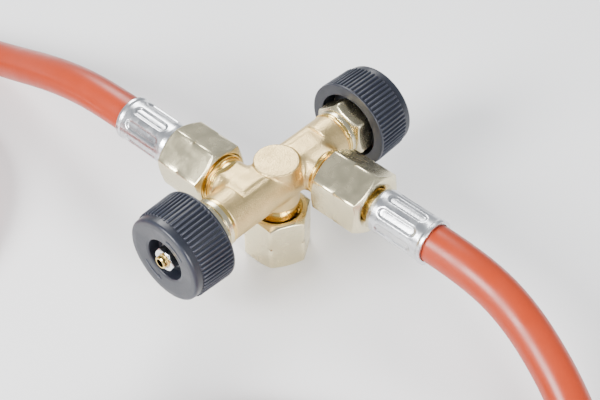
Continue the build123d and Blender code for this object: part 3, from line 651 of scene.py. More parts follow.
def wear_highlight_and_shade_group():
    """Edge mask for wear with a painted highlight, corner mask for painted shade in hollows,
    broken up so that they aren't even.
    """
    tree, start, end = new_tree("wear_highlight_and_shade", "ShaderNodeTree", [
        ("Scale", "NodeSocketFloat", 900.0), ("Edge Amount", "NodeSocketFloat", 1.0),
        ("Corner Amount", "NodeSocketFloat", 1.0),
    ], [("Edge", "NodeSocketFloat", None), ("Corner", "NodeSocketFloat", None)])
    place = add(tree, "ShaderNodeTexCoord").outputs["Object"]
    cloud = add(tree, "ShaderNodeTexNoise", {
        "Vector": place, "Scale": start.outputs["Scale"], "Detail": 3.0})
    patchy = Value(tree, cloud.outputs[0]) * 0.8 + 0.5
    # Edge brightens convex edges: wear and a painted highlight. Corner darkens hollows: painted
    # shade.
    for name in ("Edge", "Corner"):
        bend = add(tree, "ShaderNodeAttribute", attribute_name=name.lower())
        amount = Value(tree, start.outputs[f"{name} Amount"])
        mask = Value(tree, bend.outputs["Fac"]) * patchy * amount
        tree.links.new(mask.least(1).source, end.inputs[name])
    return tree


def handling_group():
    """Roughness that varies softly, as on a surface that is touched."""
    tree, start, end = new_tree("handling", "ShaderNodeTree", [
        ("Scale", "NodeSocketFloat", 250.0), ("Low", "NodeSocketFloat", 0.2),
        ("High", "NodeSocketFloat", 0.35),
    ], [("Roughness", "NodeSocketFloat", None)])
    place = add(tree, "ShaderNodeTexCoord").outputs["Object"]
    cloud = add(tree, "ShaderNodeTexNoise", {
        "Vector": place, "Scale": start.outputs["Scale"], "Detail": 4.0, "Distortion": 0.4})
    spread = add(tree, "ShaderNodeMapRange", {
        "Value": cloud.outputs[0], "From Min": 0.3, "From Max": 0.7,
        "To Min": start.outputs["Low"], "To Max": start.outputs["High"]})
    tree.links.new(spread.outputs[0], end.inputs["Roughness"])
    return tree


def new_material(name):
    """(material, its tree, its shader)"""
    made = bpy.data.materials.new(name)
    made.use_nodes = True
    return made, made.node_tree, made.node_tree.nodes["Principled BSDF"]


def effect(tree, name, values):
    """A shared effect placed in a material."""
    return add(tree, "ShaderNodeGroup", values, node_tree=bpy.data.node_groups[name])


def mixed(tree, mask, first, second):
    node = add(tree, "ShaderNodeMix", data_type="RGBA")
    tree.links.new(mask, node.inputs["Factor"])
    for key, value in (("A", first), ("B", second)):
        socket = next(s for s in node.inputs if s.name == key and s.type == "RGBA")
        if isinstance(value, bpy.types.NodeSocket):
            tree.links.new(value, socket)
        else:
            socket.default_value = (*value, 1)
    return next(s for s in node.outputs if s.type == "RGBA")


def shade(tint, light):
    return tuple(min(channel * light, 1) for channel in tint)


def dress(tree, shader, base, touched, skin, strength, relief):
    """Connects the colour, roughness and relief that vary over the surface."""
    bump = add(tree, "ShaderNodeBump", {
        "Height": skin.outputs["Height"], "Strength": strength, "Distance": relief})
    tree.links.new(base, shader.inputs["Base Color"])
    tree.links.new(touched.outputs[0], shader.inputs["Roughness"])
    tree.links.new(bump.outputs[0], shader.inputs["Normal"])


def metal(name, tint, gloss, grain, relief, corner_shade_tint, edge_wear_and_highlight=1.12, patch=0.9):
    """Plated or bare metal: grain, brighter edges that are wear and a painted highlight, deeper
    colour in the corners that is painted shade.
    """
    made, tree, shader = new_material(name)
    skin = effect(tree, "skin_grain", {"Scale": grain})
    wear_highlight_and_shade = effect(tree, "wear_highlight_and_shade", {"Edge Amount": 0.9, "Corner Amount": 1.0})
    touched = effect(tree, "handling", {"Low": gloss[0], "High": gloss[1]})
    base = mixed(tree, skin.outputs["Tone"], shade(tint, patch), tint)
    # Painted shade: deeper colour in the hollow corners.
    base = mixed(tree, wear_highlight_and_shade.outputs["Corner"], base, corner_shade_tint)
    # Brighter edges: wear and a painted highlight.
    base = mixed(tree, wear_highlight_and_shade.outputs["Edge"], base, shade(tint, edge_wear_and_highlight))
    dress(tree, shader, base, touched, skin, 1.0, relief)
    shader.inputs["Metallic"].default_value = 1.0
    return made


def plastic(name, tint):
    """Moulded black plastic with a fine satin skin."""
    made, tree, shader = new_material(name)
    skin = effect(tree, "skin_grain", {"Scale": 2600.0})
    wear_highlight_and_shade = effect(tree, "wear_highlight_and_shade", {"Edge Amount": 0.7, "Corner Amount": 0.8})
    touched = effect(tree, "handling", {"Low": 0.3, "High": 0.44})
    base = mixed(tree, skin.outputs["Tone"], shade(tint, 0.8), tint)
    # Lighter edges: wear and a painted highlight.
    base = mixed(tree, wear_highlight_and_shade.outputs["Edge"], base, shade(tint, 2.2))
    dress(tree, shader, base, touched, skin, 0.6, 0.00002)
    shader.inputs["IOR"].default_value = 1.5
    return made


def rubber(name, tint, gloss, relief):
    """Extruded rubber: satin, with a faint grain and paler rubbed patches."""
    made, tree, shader = new_material(name)
    skin = effect(tree, "skin_grain", {"Scale": 1500.0})
    touched = effect(tree, "handling", {"Scale": 120.0, "Low": gloss[0], "High": gloss[1]})
    base = mixed(tree, skin.outputs["Tone"], shade(tint, 0.9), tint)
    dress(tree, shader, base, touched, skin, 0.5, relief)
    return made


def strap(name, tint):
    """Narrow woven strap: warp ribs along it and weft across, read from its own UV map."""
    made, tree, shader = new_material(name)
    across = add(tree, "ShaderNodeUVMap", uv_map="UVMap")
    warp = add(tree, "ShaderNodeTexWave", {
        "Vector": across.outputs[0], "Scale": 5.5, "Distortion": 0.0}, bands_direction="X")
    weft = add(tree, "ShaderNodeTexWave", {
        "Vector": across.outputs[0], "Scale": 11.0, "Distortion": 0.4}, bands_direction="Y")
    height = Value(tree, warp.outputs["Fac"]) * 0.7 + Value(tree, weft.outputs["Fac"]) * 0.5
    base = mixed(tree, warp.outputs["Fac"], shade(tint, 0.5), shade(tint, 1.6))
    bump = add(tree, "ShaderNodeBump", {
        "Height": height, "Strength": 0.8, "Distance": 0.00025})
    tree.links.new(base, shader.inputs["Base Color"])
    tree.links.new(bump.outputs[0], shader.inputs["Normal"])
    shader.inputs["Roughness"].default_value = 0.75
    shader.inputs["Sheen Weight"].default_value = 0.3
    return made


def make_finishes():
    """Every material of the object, by name."""
    grain_group()
    wear_highlight_and_shade_group()
    handling_group()
    look = settings("finishes")
    return {
        # The colour after the relief is each metal's painted shade in its hollow corners.
        "forged brass": metal(
            "forged brass", look.forged, (0.34, 0.46), 2400.0, 0.00009, (0.86, 0.55, 0.16),
            patch=0.78),
        "turned brass": metal(
            "turned brass", look.turned, (0.16, 0.26), 3200.0, 0.000006, (0.75, 0.48, 0.13)),
        "nut brass": metal(
            "nut brass", look.nut, (0.2, 0.3), 1800.0, 0.000012, (0.6, 0.5, 0.3)),
        "zinc": metal(
            "zinc", look.zinc, (0.2, 0.34), 1400.0, 0.00002, (0.45, 0.45, 0.46)),
        "steel": metal(
            "steel", look.steel, (0.12, 0.2), 2400.0, 0.000008, (0.45, 0.44, 0.42)),
        "plastic": plastic("handwheel plastic", look.plastic),
        "hose rubber": rubber("hose rubber", look.hose, (0.3, 0.42), 0.00002),
        "seal rubber": rubber("seal rubber", (0.02, 0.02, 0.02), (0.45, 0.6), 0.00002),
        "gasket fibre": rubber("gasket fibre", (0.28, 0.09, 0.05), (0.7, 0.85), 0.00006),
        "tie fabric": strap("tie fabric", look.tie),
    }


FINISHES = {}


# ================================================================ stage
CAMERA_TURN = math.radians(-46.69)
CAMERA_RAISE = math.radians(45.47)
CAMERA_DISTANCE = 0.40686
FOCAL_LENGTH = 81.32
AIM_RIGHT, AIM_DOWN = 0.00697, 0.00676


class DISTRIBUTOR_OT_stage(bpy.types.Operator):
    """Floor, soft studio light and the camera"""
    bl_idname = "distributor.stage"
    bl_label = "Stage"

    def execute(self, context):
        right = Vector((math.cos(CAMERA_TURN), math.sin(CAMERA_TURN), 0))
        back = Vector((right.y, -right.x, 0)) * math.cos(CAMERA_RAISE)
        back.z = math.sin(CAMERA_RAISE)
        up = back.cross(right)
        camera = bpy.data.objects.new("camera", bpy.data.cameras.new("camera"))
        camera.data.sensor_width = 36
        camera.data.lens = FOCAL_LENGTH
        camera.data.clip_start, camera.data.clip_end = 0.01, 20
        camera.matrix_world = Matrix((right, up, back)).transposed().to_4x4()
        aim = Vector((0, 0, AXIS_HEIGHT)) + right * AIM_RIGHT - up * AIM_DOWN
        camera.location = aim + back * CAMERA_DISTANCE
        context.scene.collection.objects.link(camera)
        context.scene.camera = camera
        self.make_floor(context)
        self.make_light(context)
        return {"FINISHED"}

    def make_floor(self, context):
        paper, tree, shader = new_material("backdrop paper")
        fibre = add(tree, "ShaderNodeTexNoise", {"Scale": 60.0, "Detail": 4.0})
        tint = mixed(tree, fibre.outputs[0], (0.93, 0.93, 0.93), (0.95, 0.95, 0.95))
        tree.links.new(tint, shader.inputs["Base Color"])
        shader.inputs["Roughness"].default_value = 0.8
        sheet = bmesh.new()
        bmesh.ops.create_grid(sheet, x_segments=2, y_segments=2, size=4)
        mesh = bpy.data.meshes.new("floor")
        sheet.to_mesh(mesh)
        sheet.free()
        mesh.materials.append(paper)
        floor = bpy.data.objects.new("floor", mesh)
        context.scene.collection.objects.link(floor)

    def make_light(self, context):
        world = bpy.data.worlds.new("studio")
        world.use_nodes = True
        sky = world.node_tree.nodes["Background"]
        sky.inputs["Color"].default_value = (0.9, 0.94, 1, 1)
        sky.inputs["Strength"].default_value = 0.55
        context.scene.world = world
        for name, place, size, power in (
            ("key", (-0.8, 0.15, 0.55), 0.4, 20.0),
            ("front", (-0.2, -0.9, 0.45), 0.4, 12.0),
            ("back", (0.5, 0.7, 0.8), 0.5, 12.0),
        ):
            lamp = bpy.data.lights.new(name, "AREA")
            lamp.size, lamp.energy = size, power
            held = bpy.data.objects.new(name, lamp)
            held.location = place
            held.rotation_euler = (-Vector(place)).to_track_quat("-Z", "Y").to_euler()
            context.scene.collection.objects.link(held)


# ================================================================ hoses
def smooth_step(value, low, high):
    share = min(max((value - low) / (high - low), 0), 1)
    return share * share * (3 - 2 * share)


def bump_up(value, centre, reach):
    return 1 - smooth_step(abs(value - centre), reach * 0.4, reach)


class DISTRIBUTOR_OT_hoses(bpy.types.Operator):
    """Both hoses, each one smooth line from its ferrule through its coil to the end fitting"""
    bl_idname = "distributor.hoses"
    bl_label = "Hoses"

    def execute(self, context):
        size = settings("hoses")
        for name, side in SIDES:
            route = self.route(name, side, size)
            line = bpy.data.curves.new(f"{name}_hose", "CURVE")
            line.dimensions = "3D"
            spline = line.splines.new("NURBS")
            spline.points.add(len(route) - 1)
            for point, place in zip(spline.points, route):
                point.co = (*place, 1)
            spline.order_u = 3
            spline.use_endpoint_u = True
            line.resolution_u = 6
            line.bevel_depth = size.diameter / 2
            line.bevel_resolution = 12
            line.use_fill_caps = True
            line.materials.append(FINISHES["hose rubber"])
            hose = bpy.data.objects.new(f"{name}_hose", line)
            context.scene.collection.objects.link(hose)
            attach(hose, "root")
            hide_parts(f"{name}_hose_run", f"{name}_hose_coil", f"{name}_hose_tail")
        return {"FINISHED"}

    def route(self, name, side, size):
        """The listed run, the coil's turns and the tail on top of them."""
        run = [Vector(point) for point in HOSE_RUNS[name]]
        centre, start = coil_start(name, side, size)
        count = round(math.degrees(size.coil_turn) / 360 * size.points_per_turn)
        step = size.coil_turn / count
        coil = [
            self.coil_point(side, size, centre, start, step * index)
            for index in range(1, count)
        ]
        tail = [
            Vector((centre.x - west, centre.y - side * back, height))
            for west, back, height in HOSE_TAIL
        ]
        return run + coil + tail

    def coil_point(self, side, size, centre, start, turn):
        """One turn on the floor, then part of one that lies on it."""
        degrees = math.degrees(turn)
        angle = start - side * turn
        way = Vector((math.cos(angle), math.sin(angle), 0))
        way /= math.cos(math.pi / size.points_per_turn)
        low = centre + way * size.coil_radius
        high = top_centre(side, centre) + way * size.top_radius
        low.z = size.diameter / 2
        high.z = size.diameter * 1.5
        point = low.lerp(high, smooth_step(degrees, *CLIMB))
        for lap in range(2):
            strap = math.degrees(size.strap_turn) + 360 * lap
            point.z += size.strap_lift * bump_up(degrees, strap, STRAP_REACH)
        return point


def coil_start(name, side, size):
    """Centre of the coil on the floor, and the angle at which the run comes in."""
    end, before = (Vector(HOSE_RUNS[name][index]) for index in (-1, -2))
    heading = (end - before).normalized()
    inward = Vector((side * heading.y, -side * heading.x, 0))
    centre = end + inward * size.coil_radius
    centre.z = 0
    return centre, math.atan2(-inward.y, -inward.x)


def top_centre(side, centre):
    return centre + Vector((TOP_CENTRE[0], -side * TOP_CENTRE[1], 0))


class DISTRIBUTOR_OT_coil_straps(bpy.types.Operator):
    """Woven strap pulled round each coil, its free end tucked over it"""
    bl_idname = "distributor.coil_straps"
    bl_label = "Coil straps"

    def execute(self, context):
        size = settings("hoses")
        for name, side in SIDES:
            centre = coil_start(name, side, size)[0]
            turn = size.strap_turn
            away = Vector((-math.sin(turn), -side * math.cos(turn), 0))
            mesh = self.strap(size, centre, away, self.section(side, size, away))
            piece(
                f"{name}_coil_strap", mesh, FINISHES["tie fabric"], "root",
                [f"{name}_coil_tie"])
        return {"FINISHED"}

    def section(self, side, size, away):
        """Outline pulled tight round the two hoses, as (distance from the coil, height)."""
        hose = size.diameter / 2
        offset = top_centre(side, Vector((0, 0, 0)))
        along = offset.dot(away)
        inner = along + math.sqrt(size.top_radius**2 - offset.length_squared + along**2)
        hoses = (
            Vector((size.coil_radius, hose + size.strap_lift)),
            Vector((inner, 3 * hose + size.strap_lift)),
        )
        points = []
        reach = hose + size.tie_thickness / 2 + 0.00005
        # One turn and a fifth more, which climbs onto the first layer.
        for degrees in range(130, 130 + 360 + 75, 5):
            way = Vector((math.cos(math.radians(degrees)), math.sin(math.radians(degrees))))
            outermost = max(hoses, key=lambda hose_centre: hose_centre.dot(way))
            climb = size.tie_thickness * 1.05 * smooth_step(degrees, 478, 500)
            points.append(outermost + way * (reach + climb))
        return points

    def strap(self, size, centre, away, line):
        across = away.cross(Vector((0, 0, 1)))
        half, thick = size.tie_width / 2, size.tie_thickness / 2
        edge = [
            (-half, 0), (-half + thick, thick), (0, thick * 1.1), (half - thick, thick),
            (half, 0), (half - thick, -thick), (0, -thick), (-half + thick, -thick),
        ]
        middle_line = Vector((size.coil_radius, size.diameter + size.strap_lift))
        made = bmesh.new()
        uv = made.loops.layers.uv.new("UVMap")
        rings, walked = [], 0.0
        for index, point in enumerate(line):
            before, after = line[max(index - 1, 0)], line[min(index + 1, len(line) - 1)]
            along = (after - before).normalized()
            outward = Vector((along.y, -along.x))
            if outward.dot(point - middle_line) < 0:
                outward = -outward
            walked += (point - before).length
            ring = []
            for sideways, proud in edge:
                spot = point + outward * proud
                place = centre + away * spot.x + across * sideways + Vector((0, 0, spot.y))
                weave = (sideways / size.tie_width, walked / WEAVE_LENGTH)
                ring.append((made.verts.new(place), *weave))
            rings.append(ring)
        for first, second in zip(rings, rings[1:]):
            for index in range(len(edge)):
                after = (index + 1) % len(edge)
                corners = (first[index], first[after], second[after], second[index])
                face = made.faces.new([corner[0] for corner in corners])
                for loop, corner in zip(face.loops, corners):
                    loop[uv].uv = corner[1:]
        for ring in (rings[0], rings[-1]):
            made.faces.new([corner[0] for corner in ring])
        return closed(made, "strap")


# ================================================================ body
class DISTRIBUTOR_OT_body(bpy.types.Operator):
    """Forged body with the turned ends of its barrel and its two threaded outlets"""
    bl_idname = "distributor.body"
    bl_label = "Body"

    def execute(self, context):
        size, threads = settings("forging"), settings("threads")
        forging = grown(forging_tree(), {
            "Barrel Radius": size.barrel_radius, "Barrel Half": BARREL_END - 1.2 * MM,
            "Neck Radius": size.neck_radius, "Neck End": NECK_END,
            "Neck Offset": OUTLET_OFFSET, "Pad Radius": size.pad_radius,
            "Pad Top": size.pad_top, "Boss Bottom": BOSS_BOTTOM, "Flat Top": size.flat_top,
            "Flat Half": size.flat_half, "Blend": size.blend, "Voxel": size.voxel,
            "Bore Radius": BONNET_BORE_RADIUS, "Bore Start": BONNET_BORE_START,
        })
        forging.transform(Matrix.Translation((0, 0, AXIS_HEIGHT)))
        piece(
            "forged_body", forging, FINISHES["forged brass"], "root",
            ["distributor_body"], smooth_angle=60)
        ends = []
        for name, side in SIDES:
            ends.append(self.barrel_end(size, valve_place(side)))
            outlet = placing((side * OUTLET_OFFSET, 0, AXIS_HEIGHT), (0, -side, 0), (1, 0, 0))
            ends.append(self.outlet(size, threads, outlet))
            ridge = grown(TREES["thread"], {
                "Radius": threads.crest, "Pitch": threads.pitch, "Turns": 7.6,
                "Depth": threads.depth, "Left Hand": True})
            ridge.transform(outlet @ Matrix.Translation((0, 0, NECK_END + 1.0 * MM)))
            ends.append(ridge)
        piece(
            "turned_ends", joined(ends), FINISHES["turned brass"], "root",
            ["distributor_body"])
        return {"FINISHED"}

    def barrel_end(self, size, place):
        radius = size.barrel_radius
        ring = radius + 0.3 * MM
        outline = soft_outline([
            (5.55 * MM, BARREL_END - 1.3 * MM, 0), (radius, BARREL_END - 1.3 * MM, 0),
            (radius, BARREL_END - 1.0 * MM, 0.1 * MM), (ring, BARREL_END - 0.9 * MM, 0.12 * MM),
            (ring, BARREL_END, 0.2 * MM), (7.0 * MM, BARREL_END, 0.1 * MM),
            (7.0 * MM, BARREL_END - 1.0 * MM, 0), (5.55 * MM, BARREL_END - 1.0 * MM, 0),
        ])
        return turned(outline, place, angles=96)

    def outlet(self, size, threads, place):
        root = threads.crest - threads.depth
        outline = soft_outline([
            (3.0 * MM, NECK_END - 0.8 * MM, 0),
            (size.neck_radius - 0.3 * MM, NECK_END - 0.8 * MM, 0),
            (size.neck_radius, NECK_END - 0.1 * MM, 0.1 * MM),
            (size.neck_radius, NECK_END + 0.15 * MM, 0.1 * MM),
            (root - 0.5 * MM, NECK_END + 0.3 * MM, 0.1 * MM),
            (root - 0.5 * MM, NECK_END + 0.9 * MM, 0.1 * MM),
            (root, NECK_END + 1.1 * MM, 0.1 * MM), (root, OUTLET_END - 0.8 * MM, 0.2 * MM),
            (root - 0.8 * MM, OUTLET_END, 0.1 * MM), (6.2 * MM, OUTLET_END, 0.1 * MM),
            (3.0 * MM, OUTLET_END - 5.0 * MM, 0.2 * MM),
        ])
        return turned(outline, place, angles=96)


class DISTRIBUTOR_OT_bonnets(bpy.types.Operator):
    """Bonnet of each valve: polished collar, hexagon and neck"""
    bl_idname = "distributor.bonnets"
    bl_label = "Bonnets"

    def execute(self, context):
        size = settings("nuts")
        corner = corner_radius(size.bonnet_flats)
        collar = 8.0 * MM
        hexagon_start, hexagon_end = BARREL_END + 1.9 * MM, BONNET_END - 1.2 * MM
        bevel = (corner - collar) * CHAMFER
        outline = soft_outline([
            (4.0 * MM, BARREL_END - 10 * MM, 0), (5.45 * MM, BARREL_END - 10 * MM, 0),
            (5.45 * MM, BARREL_END, 0), (collar, BARREL_END, 0.15 * MM),
            (collar, BARREL_END + 1.5 * MM, 0.15 * MM),
            (collar - 0.5 * MM, BARREL_END + 1.55 * MM, 0.05 * MM),
            (collar - 0.5 * MM, hexagon_start - 0.05 * MM, 0.05 * MM),
            *ramp((collar, hexagon_start), (corner, hexagon_start + bevel), 14),
            *ramp((corner, hexagon_end - bevel), (collar, hexagon_end), 14),
            (4.7 * MM, hexagon_end, 0.1 * MM), (4.6 * MM, BONNET_END, 0.2 * MM),
            (2.9 * MM, BONNET_END, 0.1 * MM), (2.9 * MM, BARREL_END + 0.6 * MM, 0),
            (4.0 * MM, BARREL_END + 0.6 * MM, 0),
        ])
        rule = hexagon(size.bonnet_flats, size.softness)
        for name, side in SIDES:
            place = valve_place(side) @ Matrix.Rotation(math.radians(BONNET_TURN), 4, "Z")
            mesh = turned(outline, place, hexagon_angles(), rule)
            piece(
                f"{name}_bonnet_finished", mesh, FINISHES["nut brass"], "root",
                [f"{name}_bonnet"])
        return {"FINISHED"}


# ================================================================ handwheels
class DISTRIBUTOR_OT_handwheels(bpy.types.Operator):
    """Black handwheels with straight grip ribs and turning arrows"""
    bl_idname = "distributor.handwheels"
    bl_label = "Handwheels"

    def execute(self, context):
        size = settings("wheels")
        rib = self.rib(size)
        arrow = self.arrow(size)
        for name, side in SIDES:
            place = valve_place(side)
            shell = turned(self.outline(size), place, angles=120)
            ribs = grown(TREES["ring"], {"Count": size.ribs, "First Angle": 0.0}, rib)
            ribs.transform(place)
            arrows = grown(TREES["ring"], {"Count": 2, "First Angle": 0.6}, arrow)
            arrows.transform(place)
            piece(
                f"{name}_ribbed_handwheel", joined([shell, ribs, arrows]),
                FINISHES["plastic"], f"{name}_valve",
                [f"{name}_handwheel"], smooth_angle=50)
        return {"FINISHED"}

    def outline(self, size):
        slope = math.tan(size.draft)
        core = size.radius - size.rib_height
        cap_start = WHEEL_FRONT - size.cap_length
        cap = core - slope * (cap_start - WHEEL_BACK)
        hub = BONNET_END + 0.5 * MM
        hollow_end = WHEEL_BACK + 5.7 * MM
        return soft_outline([
            (size.hollow_radius, WHEEL_BACK, 0.3 * MM),
            (size.radius - 0.15 * MM, WHEEL_BACK, 0.35 * MM),
            (size.radius - 0.15 * MM, WHEEL_BACK + 0.7 * MM, 0.25 * MM),
            (core - slope * 0.001, WHEEL_BACK + 0.9 * MM, 0.1 * MM),
            (cap, cap_start, 0), (cap, WHEEL_FRONT, 1.3 * MM),
            (cap - 2.2 * MM, WHEEL_FRONT, 1.0 * MM),
            (size.recess_radius + 0.8 * MM, WHEEL_FRONT - 0.35 * MM, 0.6 * MM),
            (size.recess_radius, WHEEL_FRONT - 0.6 * MM, 0.5 * MM),
            (size.recess_radius - 0.1 * MM, HUB_FRONT, 0.3 * MM), (2.9 * MM, HUB_FRONT, 0),
            (2.9 * MM, hub, 0), (5.4 * MM, hub, 0.2 * MM), (5.4 * MM, hollow_end, 0.2 * MM),
            (size.hollow_radius, hollow_end, 0.4 * MM),
        ])

    def rib(self, size):
        """One half-round bar with rounded ends, lying along the tapered side."""
        start = WHEEL_BACK + 0.45 * MM
        end = WHEEL_FRONT - size.cap_length
        rows = []
        for along, proud in (
            (0, 0.25), (0.15, 0.7), (0.4, 1), (0.5 * (end - start) / MM, 1),
            ((end - start) / MM - 0.35, 1), ((end - start) / MM - 0.1, 0.7),
            ((end - start) / MM, 0.2),
        ):
            height = start + along * MM
            core = size.radius - size.rib_height - math.tan(size.draft) * (height - WHEEL_BACK)
            row = []
            for share, rise in ((-1, -0.25), (-0.85, 0.5), (-0.45, 0.92), (0, 1), (0.45, 0.92),
                                (0.85, 0.5), (1, -0.25)):
                radius = core + size.rib_height * rise * proud
                row.append((radius, share * size.rib_width / 2, height))
            rows.append(row)
        return bar("rib", rows)

    def arrow(self, size):
        """A raised arc with a head, on the front face."""
        radius = (size.recess_radius + size.radius - 2.6 * MM) / 2 + 0.2 * MM
        low, high = WHEEL_FRONT - 0.8 * MM, WHEEL_FRONT
        stations = [(math.radians(2.5 * step), 0.28 * MM) for step in range(15)]
        tip = stations[-1][0]
        stations += [(tip + math.radians(0.5), 0.85 * MM), (tip + math.radians(9), 0.05 * MM)]
        rows = []
        for angle, half in stations:
            row = []
            for reach, height in ((-half, low), (-half, high - 0.1 * MM), (-half * 0.7, high),
                                  (half * 0.7, high), (half, high - 0.1 * MM), (half, low)):
                out = radius + reach
                row.append((out * math.cos(angle), out * math.sin(angle), height))
            rows.append(row)
        return bar("arrow", rows)


class DISTRIBUTOR_OT_studs(bpy.types.Operator):
    """Washer, nut and threaded stud that hold each handwheel"""
    bl_idname = "distributor.studs"
    bl_label = "Studs and nuts"

    def execute(self, context):
        size, threads = settings("nuts"), settings("threads")
        corner = corner_radius(size.stud_flats)
        face = size.stud_flats / 2
        bevel = (corner - face) * CHAMFER
        nut = soft_outline([
            (2.05 * MM, STUD_NUT[0], 0),
            *ramp((face, STUD_NUT[0]), (corner, STUD_NUT[0] + bevel), 8),
            *ramp((corner, STUD_NUT[1] - bevel), (face, STUD_NUT[1]), 8),
            (2.5 * MM, STUD_NUT[1], 0.05 * MM), (2.05 * MM, STUD_NUT[1] - 0.4 * MM, 0),
        ])
        washer = soft_outline([
            (2.1 * MM, HUB_FRONT, 0), (4.6 * MM, HUB_FRONT, 0.15 * MM),
            (4.6 * MM, STUD_NUT[0], 0.2 * MM), (2.1 * MM, STUD_NUT[0], 0.1 * MM),
        ])
        core = 1.72 * MM
        stud = soft_outline([
            (0, BONNET_END + 0.5 * MM, 0), (2.0 * MM, BONNET_END + 0.5 * MM, 0),
            (2.0 * MM, HUB_FRONT, 0), (core, HUB_FRONT + 0.2 * MM, 0),
            (core, STUD_END - 0.35 * MM, 0), (core - 0.35 * MM, STUD_END, 0.1 * MM),
            (0, STUD_END, 0),
        ])
        rule = hexagon(size.stud_flats, size.softness)
        for name, side in SIDES:
            place = valve_place(side)
            hexagon_mesh = turned(nut, place, hexagon_angles(), rule)
            piece(
                f"{name}_stud_nut", hexagon_mesh, FINISHES["steel"], f"{name}_valve",
                [f"{name}_handwheel_nut"])
            piece(
                f"{name}_stud_washer", turned(washer, place, 64), FINISHES["steel"],
                f"{name}_valve", [f"{name}_handwheel_washer"])
            ridge = grown(TREES["thread"], {
                "Radius": 2.0 * MM, "Pitch": threads.stud_pitch, "Turns": 7.2,
                "Depth": 0.42 * MM, "Left Hand": False})
            ridge.transform(place @ Matrix.Translation((0, 0, HUB_FRONT + 0.3 * MM)))
            piece(
                f"{name}_stud_thread", joined([turned(stud, place, 48), ridge]),
                FINISHES["turned brass"], f"{name}_valve")
        return {"FINISHED"}


# ================================================================ union nuts, nipples, ferrules
class DISTRIBUTOR_OT_union_nuts(bpy.types.Operator):
    """The five left-hand union nuts, notched round their corners"""
    bl_idname = "distributor.union_nuts"
    bl_label = "Union nuts"

    def execute(self, context):
        size, threads = settings("nuts"), settings("threads")
        hose_outline = self.outline(size, threads, 5.8 * MM, 7.2 * MM)
        inlet_outline = self.outline(size, threads, 6.8 * MM, 7.9 * MM)
        rule = hexagon(size.flats, size.softness)
        angle = math.radians(INLET_NUT_TURN)
        upright = placing((0, 0, 0), (0, 0, 1), (math.cos(angle), math.sin(angle), 0))
        nuts = [("inlet", upright, inlet_outline)]
        nuts += [(prefix, place, hose_outline) for prefix, place, ferrule in fittings()]
        for prefix, place, outline in nuts:
            mesh = turned(outline, place, hexagon_angles(), rule)
            piece(
                f"{prefix}_union_nut_finished", mesh, FINISHES["nut brass"],
                f"{prefix}_nut", [f"{prefix}_union_nut"])
        return {"FINISHED"}

    def outline(self, size, threads, hole, sink):
        corner = corner_radius(size.flats)
        face = size.flats / 2 - size.face_inset
        bevel = (corner - face) * CHAMFER
        half = NUT_LENGTH / 2
        bore = threads.crest + 0.1 * MM
        return soft_outline([
            (bore + 0.35 * MM, 0, 0.08 * MM), *ramp((face, 0), (corner, bevel), 16),
            (corner, half - size.notch, 0), (corner - size.notch, half, 0),
            (corner, half + size.notch, 0),
            *ramp((corner, NUT_LENGTH - bevel), (face, NUT_LENGTH), 16),
            (sink, NUT_LENGTH, 0.1 * MM), (hole, NUT_LENGTH - (sink - hole), 0.15 * MM),
            (hole, 14 * MM, 0), (bore + 0.3 * MM, 14 * MM, 0), (bore + 0.3 * MM, 7 * MM, 0),
            (bore, 7 * MM, 0), (bore, 0.35 * MM, 0.08 * MM),
        ])


class DISTRIBUTOR_OT_nipples(bpy.types.Operator):
    """Cone nipples of the inlet and of the four hose fittings"""
    bl_idname = "distributor.nipples"
    bl_label = "Nipples"

    def execute(self, context):
        boss = AXIS_HEIGHT - BOSS_BOTTOM
        inlet = soft_outline([
            (2.0 * MM, 7.1 * MM, 0.1 * MM), (3.4 * MM, 7.1 * MM, 0.2 * MM),
            (6.0 * MM, 9.6 * MM, 0.2 * MM), (6.0 * MM, 11.0 * MM, 0),
            (7.4 * MM, 11.0 * MM, 0.1 * MM),
            (7.4 * MM, 13.9 * MM, 0.1 * MM), (6.4 * MM, 13.9 * MM, 0),
            (6.4 * MM, boss - 1.6 * MM, 0.1 * MM), (6.1 * MM, boss - 1.3 * MM, 0.1 * MM),
            (6.1 * MM, boss - 0.9 * MM, 0.1 * MM), (6.4 * MM, boss - 0.6 * MM, 0.1 * MM),
            (6.4 * MM, boss, 0), (4.9 * MM, boss, 0), (4.9 * MM, boss + 4.8 * MM, 0),
            (2.0 * MM, boss + 4.8 * MM, 0),
        ])
        piece(
            "inlet_nipple_finished", turned(inlet, Matrix.Identity(4), 96),
            FINISHES["turned brass"], "root", ["inlet_nipple"])
        hose = soft_outline([
            (2.0 * MM, 7.1 * MM, 0.1 * MM), (4.6 * MM, 7.1 * MM, 0.2 * MM),
            (6.1 * MM, 9.4 * MM, 0.2 * MM), (6.1 * MM, 11.0 * MM, 0),
            (7.4 * MM, 11.0 * MM, 0.1 * MM), (7.4 * MM, 13.9 * MM, 0.1 * MM),
            (5.4 * MM, 13.9 * MM, 0), (5.4 * MM, FERRULE[0] - 0.2 * MM, 0.2 * MM),
            (4.8 * MM, FERRULE[0], 0), (3.0 * MM, FERRULE[0], 0),
            (2.7 * MM, FERRULE[1] - 2.4 * MM, 0), (2.0 * MM, FERRULE[1] - 2.4 * MM, 0),
        ])
        for prefix, place, ferrule in fittings():
            piece(
                f"{prefix}_nipple_finished", turned(hose, place, 80),
                FINISHES["turned brass"], "root", [f"{prefix}_nipple"])
        return {"FINISHED"}


